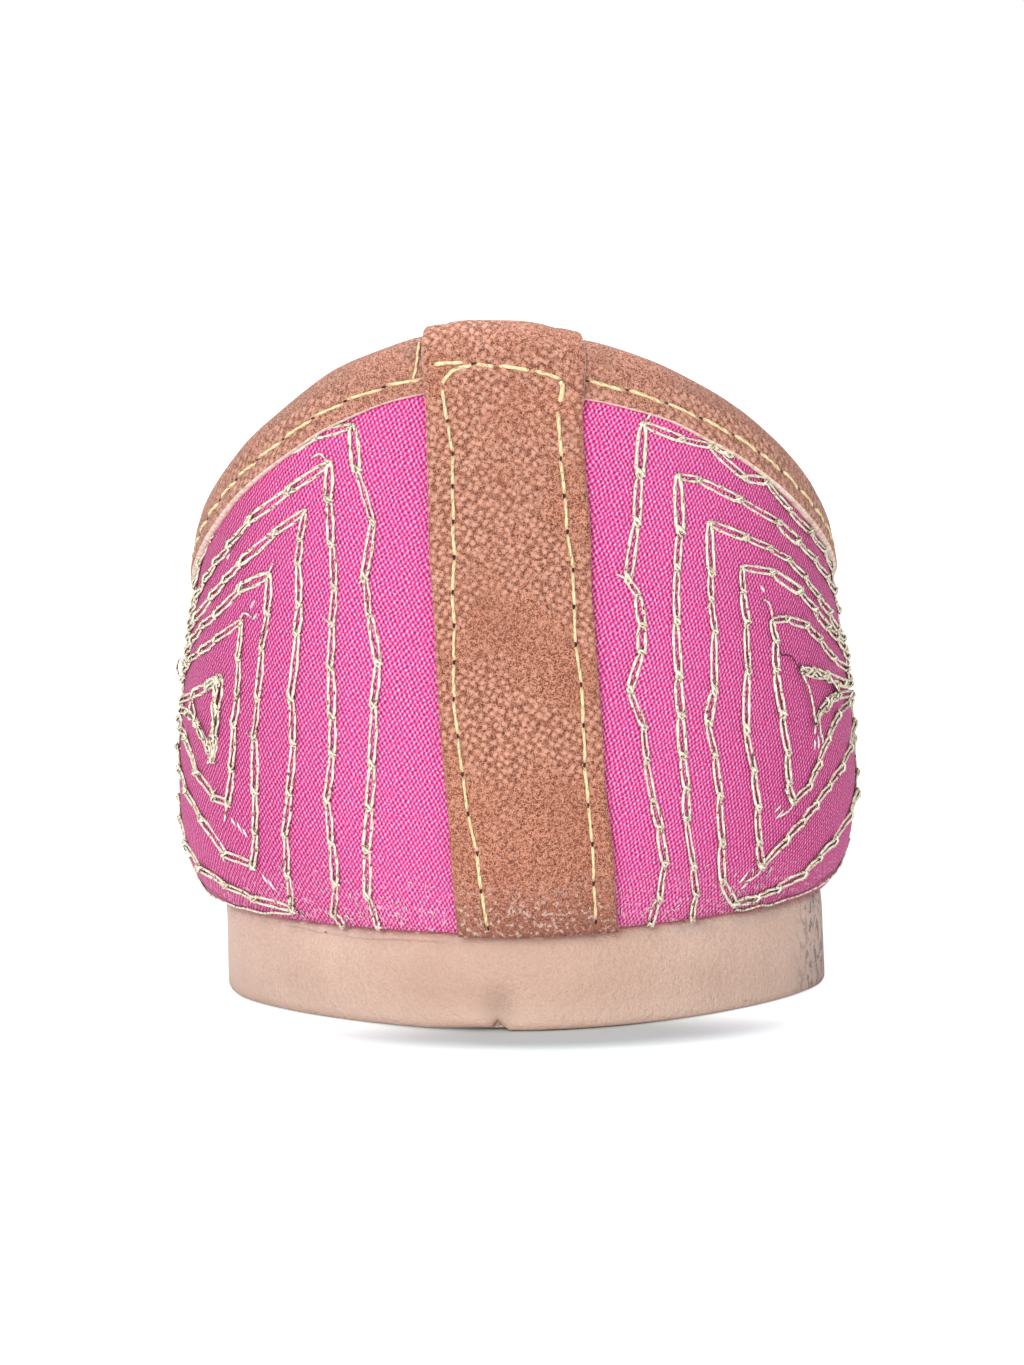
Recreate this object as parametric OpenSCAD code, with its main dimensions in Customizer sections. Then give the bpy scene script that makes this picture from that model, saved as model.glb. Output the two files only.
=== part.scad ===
// Embroidered slip-on shoe (jutti), straight-lasted, so that one shoe fits either foot.
// Millimetres, +Z up, toe towards +Y. The origin is on the ground under the middle of the
// heel. Distances along the shoe are taken from the back of the feather line, which is the
// line where the upper meets the sole, and the finished pieces are then set over the origin.
//
// The upper is a closed band. Each of its columns is a Bezier curve from the feather line up
// to the top edge, and every soft piece is a patch of that one surface, set in or out by the
// layers that lie over or under it. So pieces that touch on the shoe share their faces here.

/* [Sole] */
// Length of the feather line, heel to toe
sole_length = 248; // [228:1:270]
// Width of the feather line across the heel
heel_width = 59; // [50:0.5:66]
// Width of the feather line across the waist
waist_width = 53; // [44:0.5:60]
// Width of the feather line across the ball of the foot
ball_width = 75; // [66:0.5:86]
// Thickness of the sole under the heel
heel_thickness = 9.4; // [7:0.1:14]
// Thickness of the sole under the ball and the toe
fore_thickness = 6; // [4:0.1:8]
// How far the waist of the sole clears the ground
arch_rise = 1.5; // [0.5:0.1:3]
// How far the tip of the sole clears the ground
toe_spring = 4; // [1:0.5:8]
// How far the sole stands back under the feather line
sole_inset = 0.6; // [0:0.1:1.5]
// Radius of the sole's lower edge
sole_edge_radius = 1.2; // [0.6:0.1:2.5]
// Bevel round the top of the sole
sole_bevel = 0.4; // [0.2:0.1:0.8]

/* [Last, seen from above] */
// Distance from the back to the widest point of the heel
heel_station = 30; // [24:1:36]
// Distance from the back to the narrowest point of the waist
waist_station = 98; // [88:1:108]
// Distance from the back to the widest point of the ball
ball_station = 172; // [162:1:182]
// Fullness of the heel's curve at its back
heel_roundness = 13; // [8:0.5:16]
// Fullness of the toe's curve at its tip
toe_roundness = 20; // [15:0.5:26]

/* [Top edge] */
// Height of the upper above the sole at the back
back_height = 53.3; // [48:0.5:62]
// How far the top of the back leans towards the toe
back_lean = 3.5; // [0:0.5:7]
// Height of the upper above the sole beside the heel
side_height = 33; // [30:0.5:40]
// Width of the opening beside the heel
side_width = 59.8; // [54:0.2:66]
// Height of the upper above the sole at the waist
waist_height = 30; // [26:0.5:36]
// Width of the opening at the waist
waist_opening = 59; // [52:0.5:64]
// Height of the upper above the sole at the corners of the throat
corner_height = 32; // [28:0.5:38]
// Width of the throat between its corners
throat_width = 46; // [36:0.5:52]
// Distance from the back to the corners of the throat
corner_station = 138; // [130:1:144]
// Distance from the back to the middle of the throat
throat_station = 156; // [150:1:164]
// Height of the upper above the sole at the middle of the throat
throat_height = 36; // [32:0.5:42]

/* [Fullness of the wall] */
// How far the wall bulges over the sole at the back
back_belly = 4.6; // [2:0.2:7]
// How far the wall bulges over the sole beside the heel
side_belly = 5.8; // [4:0.2:10]
// How far the wall bulges over the sole at the waist
waist_belly = 5; // [2:0.2:8]
// How far the wall bulges over the sole at the ball
ball_belly = 4; // [2:0.2:7]
// How far the wall bulges over the sole at the tip of the toe
toe_belly = 3; // [1:0.2:5]

/* [Layers] */
// Thickness of the embroidered cloth
cloth_t = 0.9; // [0.6:0.1:1.4]
// Thickness of the interlining, the heel counter and the toe puff
stiffener_t = 0.8; // [0.5:0.1:1.4]
// Thickness of the lining
lining_t = 0.8; // [0.5:0.1:1.4]
// Width of the lasting margin turned in under the insole board
margin_width = 8; // [5:0.5:9]
// Thickness of the insole board
board_t = 1.6; // [1:0.1:2.5]
// Thickness of the footbed cushion
cushion_t = 2.5; // [1:0.1:4]
// Thickness of the sock lining
sock_t = 0.8; // [0.5:0.1:1.5]
// Gap between the footbed pieces and the lining
footbed_gap = 0.2; // [0.1:0.05:0.5]

/* [Binding and heel strip] */
// Width of the binding on each face of the upper
binding_width = 3.4; // [2.5:0.1:5]
// Thickness of the binding's leather
binding_t = 0.9; // [0.6:0.1:1.4]
// Width of the heel strip
strip_width = 14.5; // [11:0.5:18]
// Thickness of the heel strip's leather
strip_t = 1; // [0.7:0.1:1.5]
// Sideways place of the heel strip at the sole
strip_foot_x = 1.6; // [-2:0.05:2]
// Sideways place of the heel strip at the top edge
strip_top_x = -0.5; // [-2:0.05:2]
// Glue line between the heel strip and what it lies on
glue_t = 0.1; // [0.05:0.05:0.2]

/* [Hidden] */

// Colours
CLOTH = [0.91, 0.38, 0.66];
TAN = [0.76, 0.51, 0.42];
BEIGE = [0.84, 0.71, 0.63];
CREAM = [0.87, 0.78, 0.66];
CANVAS = [0.86, 0.84, 0.78];
BOARD = [0.55, 0.45, 0.36];
FOAM = [0.93, 0.88, 0.75];

// Columns in each quarter turn of the band: round the heel, along the quarter, along the
// side of the vamp, and round the toe.
COLUMNS = [9, 6, 5, 10];
HALF = COLUMNS[0] + COLUMNS[1] + COLUMNS[2] + COLUMNS[3];
ROUND = 2 * HALF;
SEAM = COLUMNS[0] + COLUMNS[1] - 1;       // column of the side seam
COUNTER_END = COLUMNS[0] + 2;             // column where the heel counter stops
PUFF_START = HALF - COLUMNS[3] + 4;       // column where the toe puff starts
STRIP_REACH = COLUMNS[0];                 // columns beside the back that the strip may use

// Rows of the band: the lasting margin, then the wall, then the zone of the binding
WALL_ROWS = 8;
FEATHER = 2;                              // row of the feather line
STEP_ROW = FEATHER + WALL_ROWS;           // row just below the binding's edge
BIND_ROW = STEP_ROW + 1;                  // row of the binding's edge
TOP = BIND_ROW + 2;                       // row of the top edge
COUNTER_TOP = STEP_ROW - 1;
PUFF_TOP = FEATHER + 4;
strip_step = 2;                           // length over which the strip climbs the binding

// Offsets of the layers from the face of the cloth, inwards
cloth_in = -cloth_t;
stiffener_in = cloth_in - stiffener_t;
lining_in = stiffener_in - lining_t;
stack_t = -lining_in;

// Heights above the top of the sole of the footbed pieces
board_z = stack_t;
cushion_z = board_z + board_t;
sock_z = cushion_z + cushion_t;
footbed_z = sock_z + sock_t;

function ease(t) = let (c = max(0, min(1, t))) c * c * (3 - 2 * c);
function bezier(p, t) =
    let (s = 1 - t)
    s * s * s * p[0] + 3 * s * s * t * p[1] + 3 * s * t * t * p[2] + t * t * t * p[3];
function chain(segments, u) =
    let (i = min(floor(u), len(segments) - 1))
    bezier(segments[i], u - i);
// A value given at the five stations, eased between them
function at_station(values, u) =
    let (i = min(floor(u), len(values) - 2), t = ease(u - i))
    values[i] * (1 - t) + values[i + 1] * t;
function unit(v) = v / norm(v);

// ---- Sole surfaces, as heights along the shoe ----
heel_flat_end = 44;                       // the heel's flat ground contact ends here
fore_start = ball_station - 28;           // the forefoot's ground contact starts here
function ground_z(y) =
    let (
        arch = sin(180 * max(0, min(1, (y - heel_flat_end) / (fore_start - heel_flat_end)))),
        toe = max(0, (y - ball_station) / (sole_length - ball_station))
    )
    arch_rise * arch * arch + toe_spring * toe * toe;
function seat_z(y) =
    let (
        fall = ease((y - heel_flat_end) / (fore_start - heel_flat_end)),
        toe = max(0, (y - ball_station) / (sole_length - ball_station))
    )
    heel_thickness + (fore_thickness - heel_thickness) * fall + toe_spring * toe * toe;

// ---- Guide curves: stations 0 heel back, 1 heel side, 2 waist, 3 ball, 4 toe ----
heel_half = heel_width / 2;
waist_half = waist_width / 2;
ball_half = ball_width / 2;
heel_handle = 12;                         // lengths of the guide curves' handles
waist_handle = 28;
ball_handle = 32;
FEATHER_LINE = [
    [[0, 0], [heel_roundness, 0],
     [heel_half, heel_station - heel_handle], [heel_half, heel_station]],
    [[heel_half, heel_station], [heel_half, heel_station + heel_handle + 8],
     [waist_half, waist_station - waist_handle], [waist_half, waist_station]],
    [[waist_half, waist_station], [waist_half, waist_station + waist_handle],
     [ball_half, ball_station - ball_handle], [ball_half, ball_station]],
    [[ball_half, ball_station], [ball_half, ball_station + ball_handle],
     [toe_roundness, sole_length], [0, sole_length]],
];
function feather(u) =
    let (p = chain(FEATHER_LINE, u))
    [p[0], p[1], seat_z(p[1])];
function outward(u) =
    let (d = chain(FEATHER_LINE, min(4, u + 0.001)) - chain(FEATHER_LINE, max(0, u - 0.001)))
    unit([d[1], -d[0]]);

back_z = heel_thickness + back_height;
side_z = heel_thickness + side_height;
waist_z = seat_z(waist_station) + waist_height;
corner_z = seat_z(corner_station) + corner_height;
throat_z = seat_z(throat_station) + throat_height;
side_half = side_width / 2;
waist_open_half = waist_opening / 2;
corner_half = throat_width / 2;
side_station = heel_station + back_lean;
side_fall = 5.5;                          // drop of the top edge's handle beside the heel
top_roundness = 20;                       // fullness of the top edge at the back
TOP_LINE = [
    [[0, back_lean, back_z], [top_roundness, back_lean, back_z],
     [side_half, side_station - 20, side_z + side_fall], [side_half, side_station, side_z]],
    [[side_half, side_station, side_z], [side_half, side_station + 20, side_z - side_fall],
     [waist_open_half, waist_station - 24, waist_z + 0.8], [waist_open_half, waist_station, waist_z]],
    [[waist_open_half, waist_station, waist_z], [waist_open_half, waist_station + 20, waist_z - 0.7],
     [corner_half + 3.5, corner_station - 9, corner_z - 1.2], [corner_half, corner_station, corner_z]],
    [[corner_half, corner_station, corner_z], [corner_half - 4, corner_station + 10.3, corner_z + 1.4],
     [corner_half * 0.45, throat_station, throat_z], [0, throat_station, throat_z]],
];
function top_edge(u) = chain(TOP_LINE, u);

// The wall leaves the feather line bulging out by the belly and reaches the top edge along
// a handle that is upright on the quarters and lies down along the foot on the vamp.
BELLY = [back_belly, side_belly, waist_belly, ball_belly, toe_belly];
RISE = [17, 4, 6, 10, 13];
HANDLE_OUT = [1.8, 2.6, 1, 9, 0.39 * (sole_length - throat_station)];
HANDLE_DOWN = [18, 13.4, 10, 3, 6];
function wall_controls(u) =
    let (
        foot = feather(u), top = top_edge(u), out = outward(u),
        gap = [foot[0] - top[0], foot[1] - top[1]],
        along = norm(gap) > 0.001 ? unit(gap) : out,
        w = ease(u - 2.2),
        lie = unit(out * (1 - w) + along * w),
        reach = at_station(HANDLE_OUT, u), belly = at_station(BELLY, u)
    )
    [foot,
     foot + [out[0] * belly, out[1] * belly, at_station(RISE, u)],
     top + [lie[0] * reach, lie[1] * reach, -at_station(HANDLE_DOWN, u)],
     top];

// ---- The band as a grid of points ----
WALL_STEPS = 24;
function running(points, i = 1, sums = [0]) =
    i == len(points) ? sums
    : running(points, i + 1, concat(sums, [sums[i - 1] + norm(points[i] - points[i - 1])]));
// Distances down from the top edge of the wall's rows, feather line first. The rows lie
// closer together near the feather line, where the wall turns out over the sole.
ROW_EASE = 1.35;
function row_distances(length) =
    let (below = length - binding_width - strip_step)
    concat(
        [for (r = [0 : WALL_ROWS]) length - below * pow(r / WALL_ROWS, ROW_EASE)],
        [binding_width, binding_width / 2, 0]
    );
// One column of the band: the lasting margin turned in, then the wall up to the top edge
function column(u) =
    let (
        controls = wall_controls(u), out = outward(u), inwards = -[out[0], out[1], 0],
        line = [for (i = [0 : WALL_STEPS]) bezier(controls, 1 - i / WALL_STEPS)],
        dist = running(line),
        tables = [for (axis = [0 : 2]) [for (i = [0 : WALL_STEPS]) [dist[i], line[i][axis]]]]
    )
    concat(
        [for (r = [0 : FEATHER - 1]) controls[0] + inwards * margin_width * (1 - r / FEATHER)],
        [for (d = row_distances(dist[WALL_STEPS])) [for (table = tables) lookup(d, table)]]
    );
function station_of(k, part = 0) =
    k <= COLUMNS[part] || part == 3 ? part + k / COLUMNS[part]
    : station_of(k - COLUMNS[part], part + 1);
HALF_GRID = [for (k = [0 : HALF]) column(station_of(k))];
GRID = [for (k = [0 : ROUND - 1])
    k <= HALF ? HALF_GRID[k]
    : [for (p = HALF_GRID[ROUND - k]) [-p[0], p[1], p[2]]]];
function wrap(k) = (k + ROUND) % ROUND;
NORMALS = [for (k = [0 : ROUND - 1]) [for (j = [0 : TOP])
    let (
        across = GRID[wrap(k + 1)][j] - GRID[wrap(k - 1)][j],
        upward = GRID[k][min(TOP, j + 1)] - GRID[k][max(0, j - 1)]
    )
    unit(cross(across, upward))]];
// The point of the band at column k and row j, set out from the face of the cloth
function band(k, j, offset) = GRID[wrap(k)][j] + NORMALS[wrap(k)][j] * offset;

// Every piece is drawn from the back of the feather line and set over the origin here
module piece(points, faces) {
    translate([0, -heel_station, 0]) polyhedron(points, faces, convexity = 8);
}
// A piece cut from the band: every cell that belongs(k, j) says is in it, between two offsets
module patch(belongs, outer, inner) {
    cells = [for (k = [0 : ROUND - 1]) for (j = [0 : TOP - 1]) if (belongs(k, j)) [k, j]];
    rows = TOP + 1;
    layer = ROUND * rows;
    points = [for (offset = [outer, inner]) for (k = [0 : ROUND - 1]) for (j = [0 : TOP])
        band(k, j, offset)];
    faces = [for (c = cells) let (
            k = c[0], j = c[1], n = wrap(k + 1),
            a = k * rows + j, b = n * rows + j, d = b + 1, e = a + 1
        ) each concat(
            [[a, d, b], [a, e, d], [layer + a, layer + b, layer + d], [layer + a, layer + d, layer + e]],
            belongs(k, j - 1) ? [] : [[a, b, layer + b], [a, layer + b, layer + a]],
            belongs(k, j + 1) ? [] : [[e, layer + e, layer + d], [e, layer + d, d]],
            belongs(wrap(k - 1), j) ? [] : [[a, layer + a, layer + e], [a, layer + e, e]],
            belongs(n, j) ? [] : [[b, d, layer + d], [b, layer + d, layer + b]]
        )];
    piece(points, faces);
}
// A piece lofted through rings that run round the shoe, from the lowest to the highest, and
// closed at both ends by strips across it
module loft(rings) {
    last = (len(rings) - 1) * ROUND;
    walls = [for (r = [0 : len(rings) - 2]) for (k = [0 : ROUND - 1]) let (
            a = r * ROUND + k, b = r * ROUND + wrap(k + 1)
        ) each [[a, b + ROUND, b], [a, a + ROUND, b + ROUND]]];
    caps = [for (k = [0 : HALF - 1]) let (m = wrap(ROUND - k), n = ROUND - k - 1)
        each k == 0 ? [[0, 1, n], [last, last + n, last + 1]]
        : k == HALF - 1 ? [[k, HALF, m], [last + k, last + m, last + HALF]]
        : [[k, k + 1, n], [k, n, m],
           [last + k, last + n, last + k + 1], [last + k, last + m, last + n]]];
    piece([for (ring = rings) each ring], concat(walls, caps));
}

// Which cells of the band each piece takes. Columns count from the back along +X.
function in_rows(j, low, high) = j >= low && j < high;
function on_right(k, low, high) = k >= low && k < high;
function on_left(k, low, high) = k >= ROUND - high && k < ROUND - low;
function both_sides(k, low, high) = on_right(k, low, high) || on_left(k, low, high);
function in_counter(k, j) = both_sides(k, 0, COUNTER_END) && in_rows(j, 0, COUNTER_TOP);
function in_puff(k, j) = both_sides(k, PUFF_START, HALF) && in_rows(j, 0, PUFF_TOP);
function in_wall(j) = in_rows(j, 0, TOP);

// ---- Sole and footbed ----
// A ring round the sole, set out from the feather line, its height measured down from the
// seat or up from the ground
function sole_ring(out_by, below_seat = undef, above_ground = undef) =
    [for (k = [0 : ROUND - 1]) let (
            side = k <= HALF ? 1 : -1,
            u = station_of(k <= HALF ? k : ROUND - k), p = feather(u), n = outward(u),
            x = p[0] + n[0] * out_by, y = p[1] + n[1] * out_by,
            z = is_undef(above_ground) ? seat_z(y) - below_seat : ground_z(y) + above_ground
        ) [side * x, y, z]];
EDGE_STEPS = 3;
SOLE_RINGS = concat(
    [for (s = [0 : EDGE_STEPS]) let (a = 90 * s / EDGE_STEPS) sole_ring(
        -sole_inset - sole_edge_radius * (1 - sin(a)),
        above_ground = sole_edge_radius * (1 - cos(a)))],
    [sole_ring(-sole_inset, below_seat = sole_bevel),
     sole_ring(-sole_inset - sole_bevel, below_seat = 0)]
);
module unit_sole() { color(BEIGE) loft(SOLE_RINGS); }
// The ring just inside the lining at a height above the seat
function inside_ring(height) =
    [for (k = [0 : ROUND - 1]) let (
            wall = [for (j = [FEATHER : STEP_ROW]) band(k, j, lining_in)],
            foot = GRID[k][FEATHER], z = foot[2] + height,
            x = lookup(z, [for (p = wall) [p[2], p[0]]]),
            y = lookup(z, [for (p = wall) [p[2], p[1]]]),
            u = station_of(k <= HALF ? k : ROUND - k), n = outward(u), side = k <= HALF ? 1 : -1
        ) [x - side * n[0] * footbed_gap, y - n[1] * footbed_gap, z]];
// The ring just inside the edge of the lasting margin, at a height above the seat
function margin_ring(height) =
    [for (k = [0 : ROUND - 1]) let (
            p = GRID[k][0], u = station_of(k <= HALF ? k : ROUND - k),
            n = outward(u), side = k <= HALF ? 1 : -1
        ) [p[0] - side * n[0] * footbed_gap, p[1] - n[1] * footbed_gap, p[2] + height]];
module bottom_filler() { color(CANVAS) loft([margin_ring(0), margin_ring(board_z - footbed_gap)]); }
module insole_board() {
    color(BOARD) loft([inside_ring(board_z), inside_ring(cushion_z)]);
}
module footbed_cushion() {
    color(FOAM) loft([inside_ring(cushion_z), inside_ring(sock_z)]);
}
module sock_lining() {
    color(CREAM) loft([inside_ring(sock_z), inside_ring(footbed_z)]);
}

// ---- Upper ----
module right_quarter() {
    color(CLOTH) patch(function(k, j) on_right(k, 0, SEAM) && in_wall(j), 0, cloth_in);
}
module left_quarter() {
    color(CLOTH) patch(function(k, j) on_left(k, 0, SEAM) && in_wall(j), 0, cloth_in);
}
module vamp() {
    color(CLOTH) patch(function(k, j) both_sides(k, SEAM, HALF) && in_wall(j), 0, cloth_in);
}
module right_interlining() {
    color(CANVAS) patch(
        function(k, j) on_right(k, 0, SEAM) && in_wall(j) && !in_counter(k, j),
        cloth_in, stiffener_in);
}
module left_interlining() {
    color(CANVAS) patch(
        function(k, j) on_left(k, 0, SEAM) && in_wall(j) && !in_counter(k, j),
        cloth_in, stiffener_in);
}
module vamp_interlining() {
    color(CANVAS) patch(
        function(k, j) both_sides(k, SEAM, HALF) && in_wall(j) && !in_puff(k, j),
        cloth_in, stiffener_in);
}
module heel_counter() { color(BOARD) patch(function(k, j) in_counter(k, j), cloth_in, stiffener_in); }
module toe_puff() { color(BOARD) patch(function(k, j) in_puff(k, j), cloth_in, stiffener_in); }
module right_quarter_lining() {
    color(CREAM) patch(function(k, j) on_right(k, 0, SEAM) && in_wall(j), stiffener_in, lining_in);
}
module left_quarter_lining() {
    color(CREAM) patch(function(k, j) on_left(k, 0, SEAM) && in_wall(j), stiffener_in, lining_in);
}
module vamp_lining() {
    color(CREAM) patch(
        function(k, j) both_sides(k, SEAM, HALF) && in_wall(j), stiffener_in, lining_in);
}

// ---- Leather edge ----
// A point on an arc over the top edge, 0 degrees on the outer face and 180 on the inner
function over_edge(k, angle, radius) =
    let (
        n = NORMALS[wrap(k)][TOP],
        up = unit(GRID[wrap(k)][TOP] - GRID[wrap(k)][TOP - 1]),
        centre = band(k, TOP, -stack_t / 2)
    )
    centre + n * radius * cos(angle) + up * radius * sin(angle);
ARC = [30, 70, 110, 150];
function binding_section(k) =
    let (face = [BIND_ROW, TOP - 1, TOP], back = [TOP, TOP - 1, BIND_ROW])
    concat(
        [for (j = face) band(k, j, 0)],
        [for (j = back) band(k, j, lining_in)],
        [for (j = face) band(k, j, lining_in - binding_t)],
        [for (i = [len(ARC) - 1 : -1 : 0]) over_edge(k, ARC[i], stack_t / 2 + binding_t)],
        [for (j = back) band(k, j, binding_t)]
    );
module topline_binding() {
    sections = [for (k = [0 : ROUND - 1]) binding_section(k)];
    size = len(sections[0]);
    faces = [for (k = [0 : ROUND - 1]) for (i = [0 : size - 1]) let (
            n = wrap(k + 1), j = (i + 1) % size,
            a = k * size + i, b = n * size + i, c = n * size + j, d = k * size + j,
            on_lining = i >= 3 && i < 5
        ) each on_lining ? [[a, b, d], [b, c, d]] : [[a, b, c], [a, c, d]]];
    color(TAN) piece([for (s = sections) each s], faces);
}

// The heel strip runs from the sole up the back, over the binding and a little way down
// inside. Each step of its path is a line of points across the back of the shoe, and the
// strip takes the points of that line that lie within its width.
STRIP_COLUMNS = 5;
TAIL_ROW = STEP_ROW - 1;                  // row inside the shoe where the strip ends
function across(points, x) =
    [x, lookup(x, [for (p = points) [p[0], p[1]]]), lookup(x, [for (p = points) [p[0], p[2]]])];
function back_line(j, offset) =
    [for (k = [-STRIP_REACH : STRIP_REACH]) band(k, j, offset)];
function edge_line(angle, radius) =
    [for (k = [-STRIP_REACH : STRIP_REACH]) over_edge(k, angle, radius)];
function foot_line(offset) =
    [for (k = [-STRIP_REACH : STRIP_REACH]) let (
            side = k < 0 ? -1 : 1, u = station_of(abs(k)), p = feather(u), n = outward(u)
        ) [side * (p[0] + n[0] * offset), p[1] + n[1] * offset, p[2] + glue_t]];
// The face of the strip a distance away from what it lies on
function strip_path(away) =
    let (on_binding = binding_t + away, rim = stack_t / 2 + on_binding)
    concat(
        [foot_line(away)],
        [for (j = [FEATHER + 1 : STEP_ROW]) back_line(j, away)],
        [for (j = [BIND_ROW : TOP]) back_line(j, on_binding)],
        [for (a = ARC) edge_line(a, rim)],
        [for (j = [TOP : -1 : BIND_ROW]) back_line(j, lining_in - on_binding)],
        [for (j = [STEP_ROW : -1 : TAIL_ROW]) back_line(j, lining_in - away)]
    );
module heel_strip() {
    faces_in = strip_path(glue_t);
    faces_out = strip_path(glue_t + strip_t);
    steps = len(faces_in);
    wide = STRIP_COLUMNS + 1;
    layer = steps * wide;
    function centre_x(s) =
        let (t = min(1, s / (TOP - FEATHER)))
        strip_top_x + (strip_foot_x - strip_top_x) * (1 - t) * (1 - t);
    points = [for (path = [faces_out, faces_in]) for (s = [0 : steps - 1])
        for (c = [0 : STRIP_COLUMNS])
            across(path[s], centre_x(s) + strip_width * (c / STRIP_COLUMNS - 0.5))];
    faces = concat(
        [for (s = [0 : steps - 2]) for (c = [0 : STRIP_COLUMNS - 1]) let (
                a = s * wide + c, b = a + 1, d = b + wide, e = a + wide
            ) each [[a, d, b], [a, e, d], [layer + a, layer + b, layer + d],
                    [layer + a, layer + d, layer + e]]],
        [for (c = [0 : STRIP_COLUMNS - 1]) let (a = c, b = c + 1, e = (steps - 1) * wide + c)
            each [[a, b, layer + b], [a, layer + b, layer + a],
                  [e, layer + e, layer + e + 1], [e, layer + e + 1, e + 1]]],
        [for (s = [0 : steps - 2]) let (a = s * wide, e = a + wide, b = a + wide - 1, d = b + wide)
            each [[a, layer + a, layer + e], [a, layer + e, e],
                  [b, d, layer + d], [b, layer + d, layer + b]]]
    );
    color(TAN) piece(points, faces);
}

unit_sole();
bottom_filler();
insole_board();
footbed_cushion();
sock_lining();
left_quarter();
right_quarter();
vamp();
left_interlining();
right_interlining();
vamp_interlining();
heel_counter();
toe_puff();
left_quarter_lining();
right_quarter_lining();
vamp_lining();
topline_binding();
heel_strip();
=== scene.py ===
# %% [markdown]
# An embroidered slip-on shoe, standing on a pale floor and seen from its heel. The real one is
# pink cloth stretched over a last, edged with a folded band of tan leather, closed up the back
# by a stitched leather strip, and glued to a moulded sole. The measured frame of the shoe is
# loaded first, and every piece made here is laid over it.

# %% The measured frame
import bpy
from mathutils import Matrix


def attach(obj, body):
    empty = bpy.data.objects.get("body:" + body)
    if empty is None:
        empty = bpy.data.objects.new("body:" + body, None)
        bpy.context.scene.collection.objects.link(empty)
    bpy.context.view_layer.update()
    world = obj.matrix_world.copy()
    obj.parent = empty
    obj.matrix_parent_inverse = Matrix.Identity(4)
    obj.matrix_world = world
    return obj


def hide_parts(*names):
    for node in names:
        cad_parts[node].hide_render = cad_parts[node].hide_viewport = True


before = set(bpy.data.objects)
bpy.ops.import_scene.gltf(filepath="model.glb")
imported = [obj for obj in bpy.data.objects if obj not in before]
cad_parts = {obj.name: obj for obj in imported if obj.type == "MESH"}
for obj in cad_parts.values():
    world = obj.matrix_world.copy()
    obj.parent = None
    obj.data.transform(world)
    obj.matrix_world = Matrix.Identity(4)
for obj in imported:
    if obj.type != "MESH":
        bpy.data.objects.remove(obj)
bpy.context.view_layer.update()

# %% Tools of the lesson
import math
import random
import bmesh
import bpy
import numpy as np
from mathutils import Matrix, Vector

MM = 0.001
TURN = 2 * math.pi
chance = random.Random(11)
scene = bpy.context.scene

# %% [markdown]
# The camera stands 600 mm behind the heel, a little above it, with a long lens, so that there is
# almost no perspective. It is turned by just over a degree, as a hand-held camera is.

# %% Camera
stand_back, tilt, roll = 600, math.radians(5.51), math.radians(-1.2)
look_at = Vector((-0.4, -10, 30.6)) * MM
camera_data = bpy.data.cameras.new("camera")
camera_data.lens, camera_data.sensor_width = 166.5, 36
camera_data.clip_start, camera_data.clip_end = 0.05, 30
camera = bpy.data.objects.new("camera", camera_data)
camera.location = Vector((0, -10 - stand_back * math.cos(tilt),
                          34 + stand_back * math.sin(tilt))) * MM
aim = (look_at - camera.location).to_track_quat("-Z", "Y").to_matrix().to_4x4()
camera.matrix_world = Matrix.Translation(camera.location) @ aim @ Matrix.Rotation(roll, 4, "Z")
scene.collection.objects.link(camera)
scene.camera = camera
print("camera at", [round(c, 3) for c in camera.matrix_world.translation])

# %% [markdown]
# The whole upper is one closed band of wall. Each of its columns is a smooth curve that leaves
# the feather line, where the upper meets the sole, bulges out over the sole, and rises to the
# top edge. A place on it has two numbers: a station round the shoe, from 0 at the back through
# 1 beside the heel, 2 at the waist and 3 at the ball to 4 at the toe, and a height in
# millimetres up the wall. Cloth, lining, leather and thread are all laid out on this one
# surface, so they fit over each other as they do on the bench.

# %% Shape of the last, in millimetres from the back of the feather line
heel_station, waist_station, ball_station, sole_length = 30, 98, 172, 248
heel_half, waist_half, ball_half = 29.5, 26.5, 37.5
heel_thickness, fore_thickness, toe_spring, arch_rise = 9.4, 6, 4, 1.5
heel_flat_end, fore_start = 44, 144
throat_station, corner_station = 156, 138
belly = [4.6, 5.8, 5, 4, 3]
rise = [17, 4, 6, 10, 13]
reach = [1.8, 2.6, 1, 9, 0.39 * (sole_length - throat_station)]
drop = [18, 13.4, 10, 3, 6]
cloth_t, stiffener_t, lining_t = 0.9, 0.8, 0.8
stack_t = cloth_t + stiffener_t + lining_t
binding_width, binding_t = 3.4, 0.9


def ease(t):
    t = min(1.0, max(0.0, t))
    return t * t * (3 - 2 * t)


def bell(x, centre, wide):
    """1 at the centre, fading to nothing a few widths away."""
    return math.exp(-((x - centre) / wide) ** 2)


def bezier(p, t):
    s = 1 - t
    return p[0] * s**3 + p[1] * 3 * s * s * t + p[2] * 3 * s * t * t + p[3] * t**3


def chain(points, u):
    """A place on a line of cubic curves, which share their end points."""
    i = min(int(u), len(points) // 3 - 1)
    return bezier([Vector(p) for p in points[3 * i:3 * i + 4]], u - i)


def at_station(values, u):
    i = min(int(u), len(values) - 2)
    t = ease(u - i)
    return values[i] * (1 - t) + values[i + 1] * t


def arch_share(y):
    return (y - heel_flat_end) / (fore_start - heel_flat_end)


def toe_lift(y):
    t = max(0.0, (y - ball_station) / (sole_length - ball_station))
    return toe_spring * t * t


def seat_z(y):
    return heel_thickness + (fore_thickness - heel_thickness) * ease(arch_share(y)) + toe_lift(y)


def ground_z(y):
    arch = math.sin(math.pi * min(1, max(0, arch_share(y))))
    return arch_rise * arch * arch + toe_lift(y)

# %% [markdown]
# Two lines carry the shape: the feather line in plan, and the top edge in space. Both are cubic
# curves from station to station, because that is how a last is drawn and it keeps them smooth.

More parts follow.
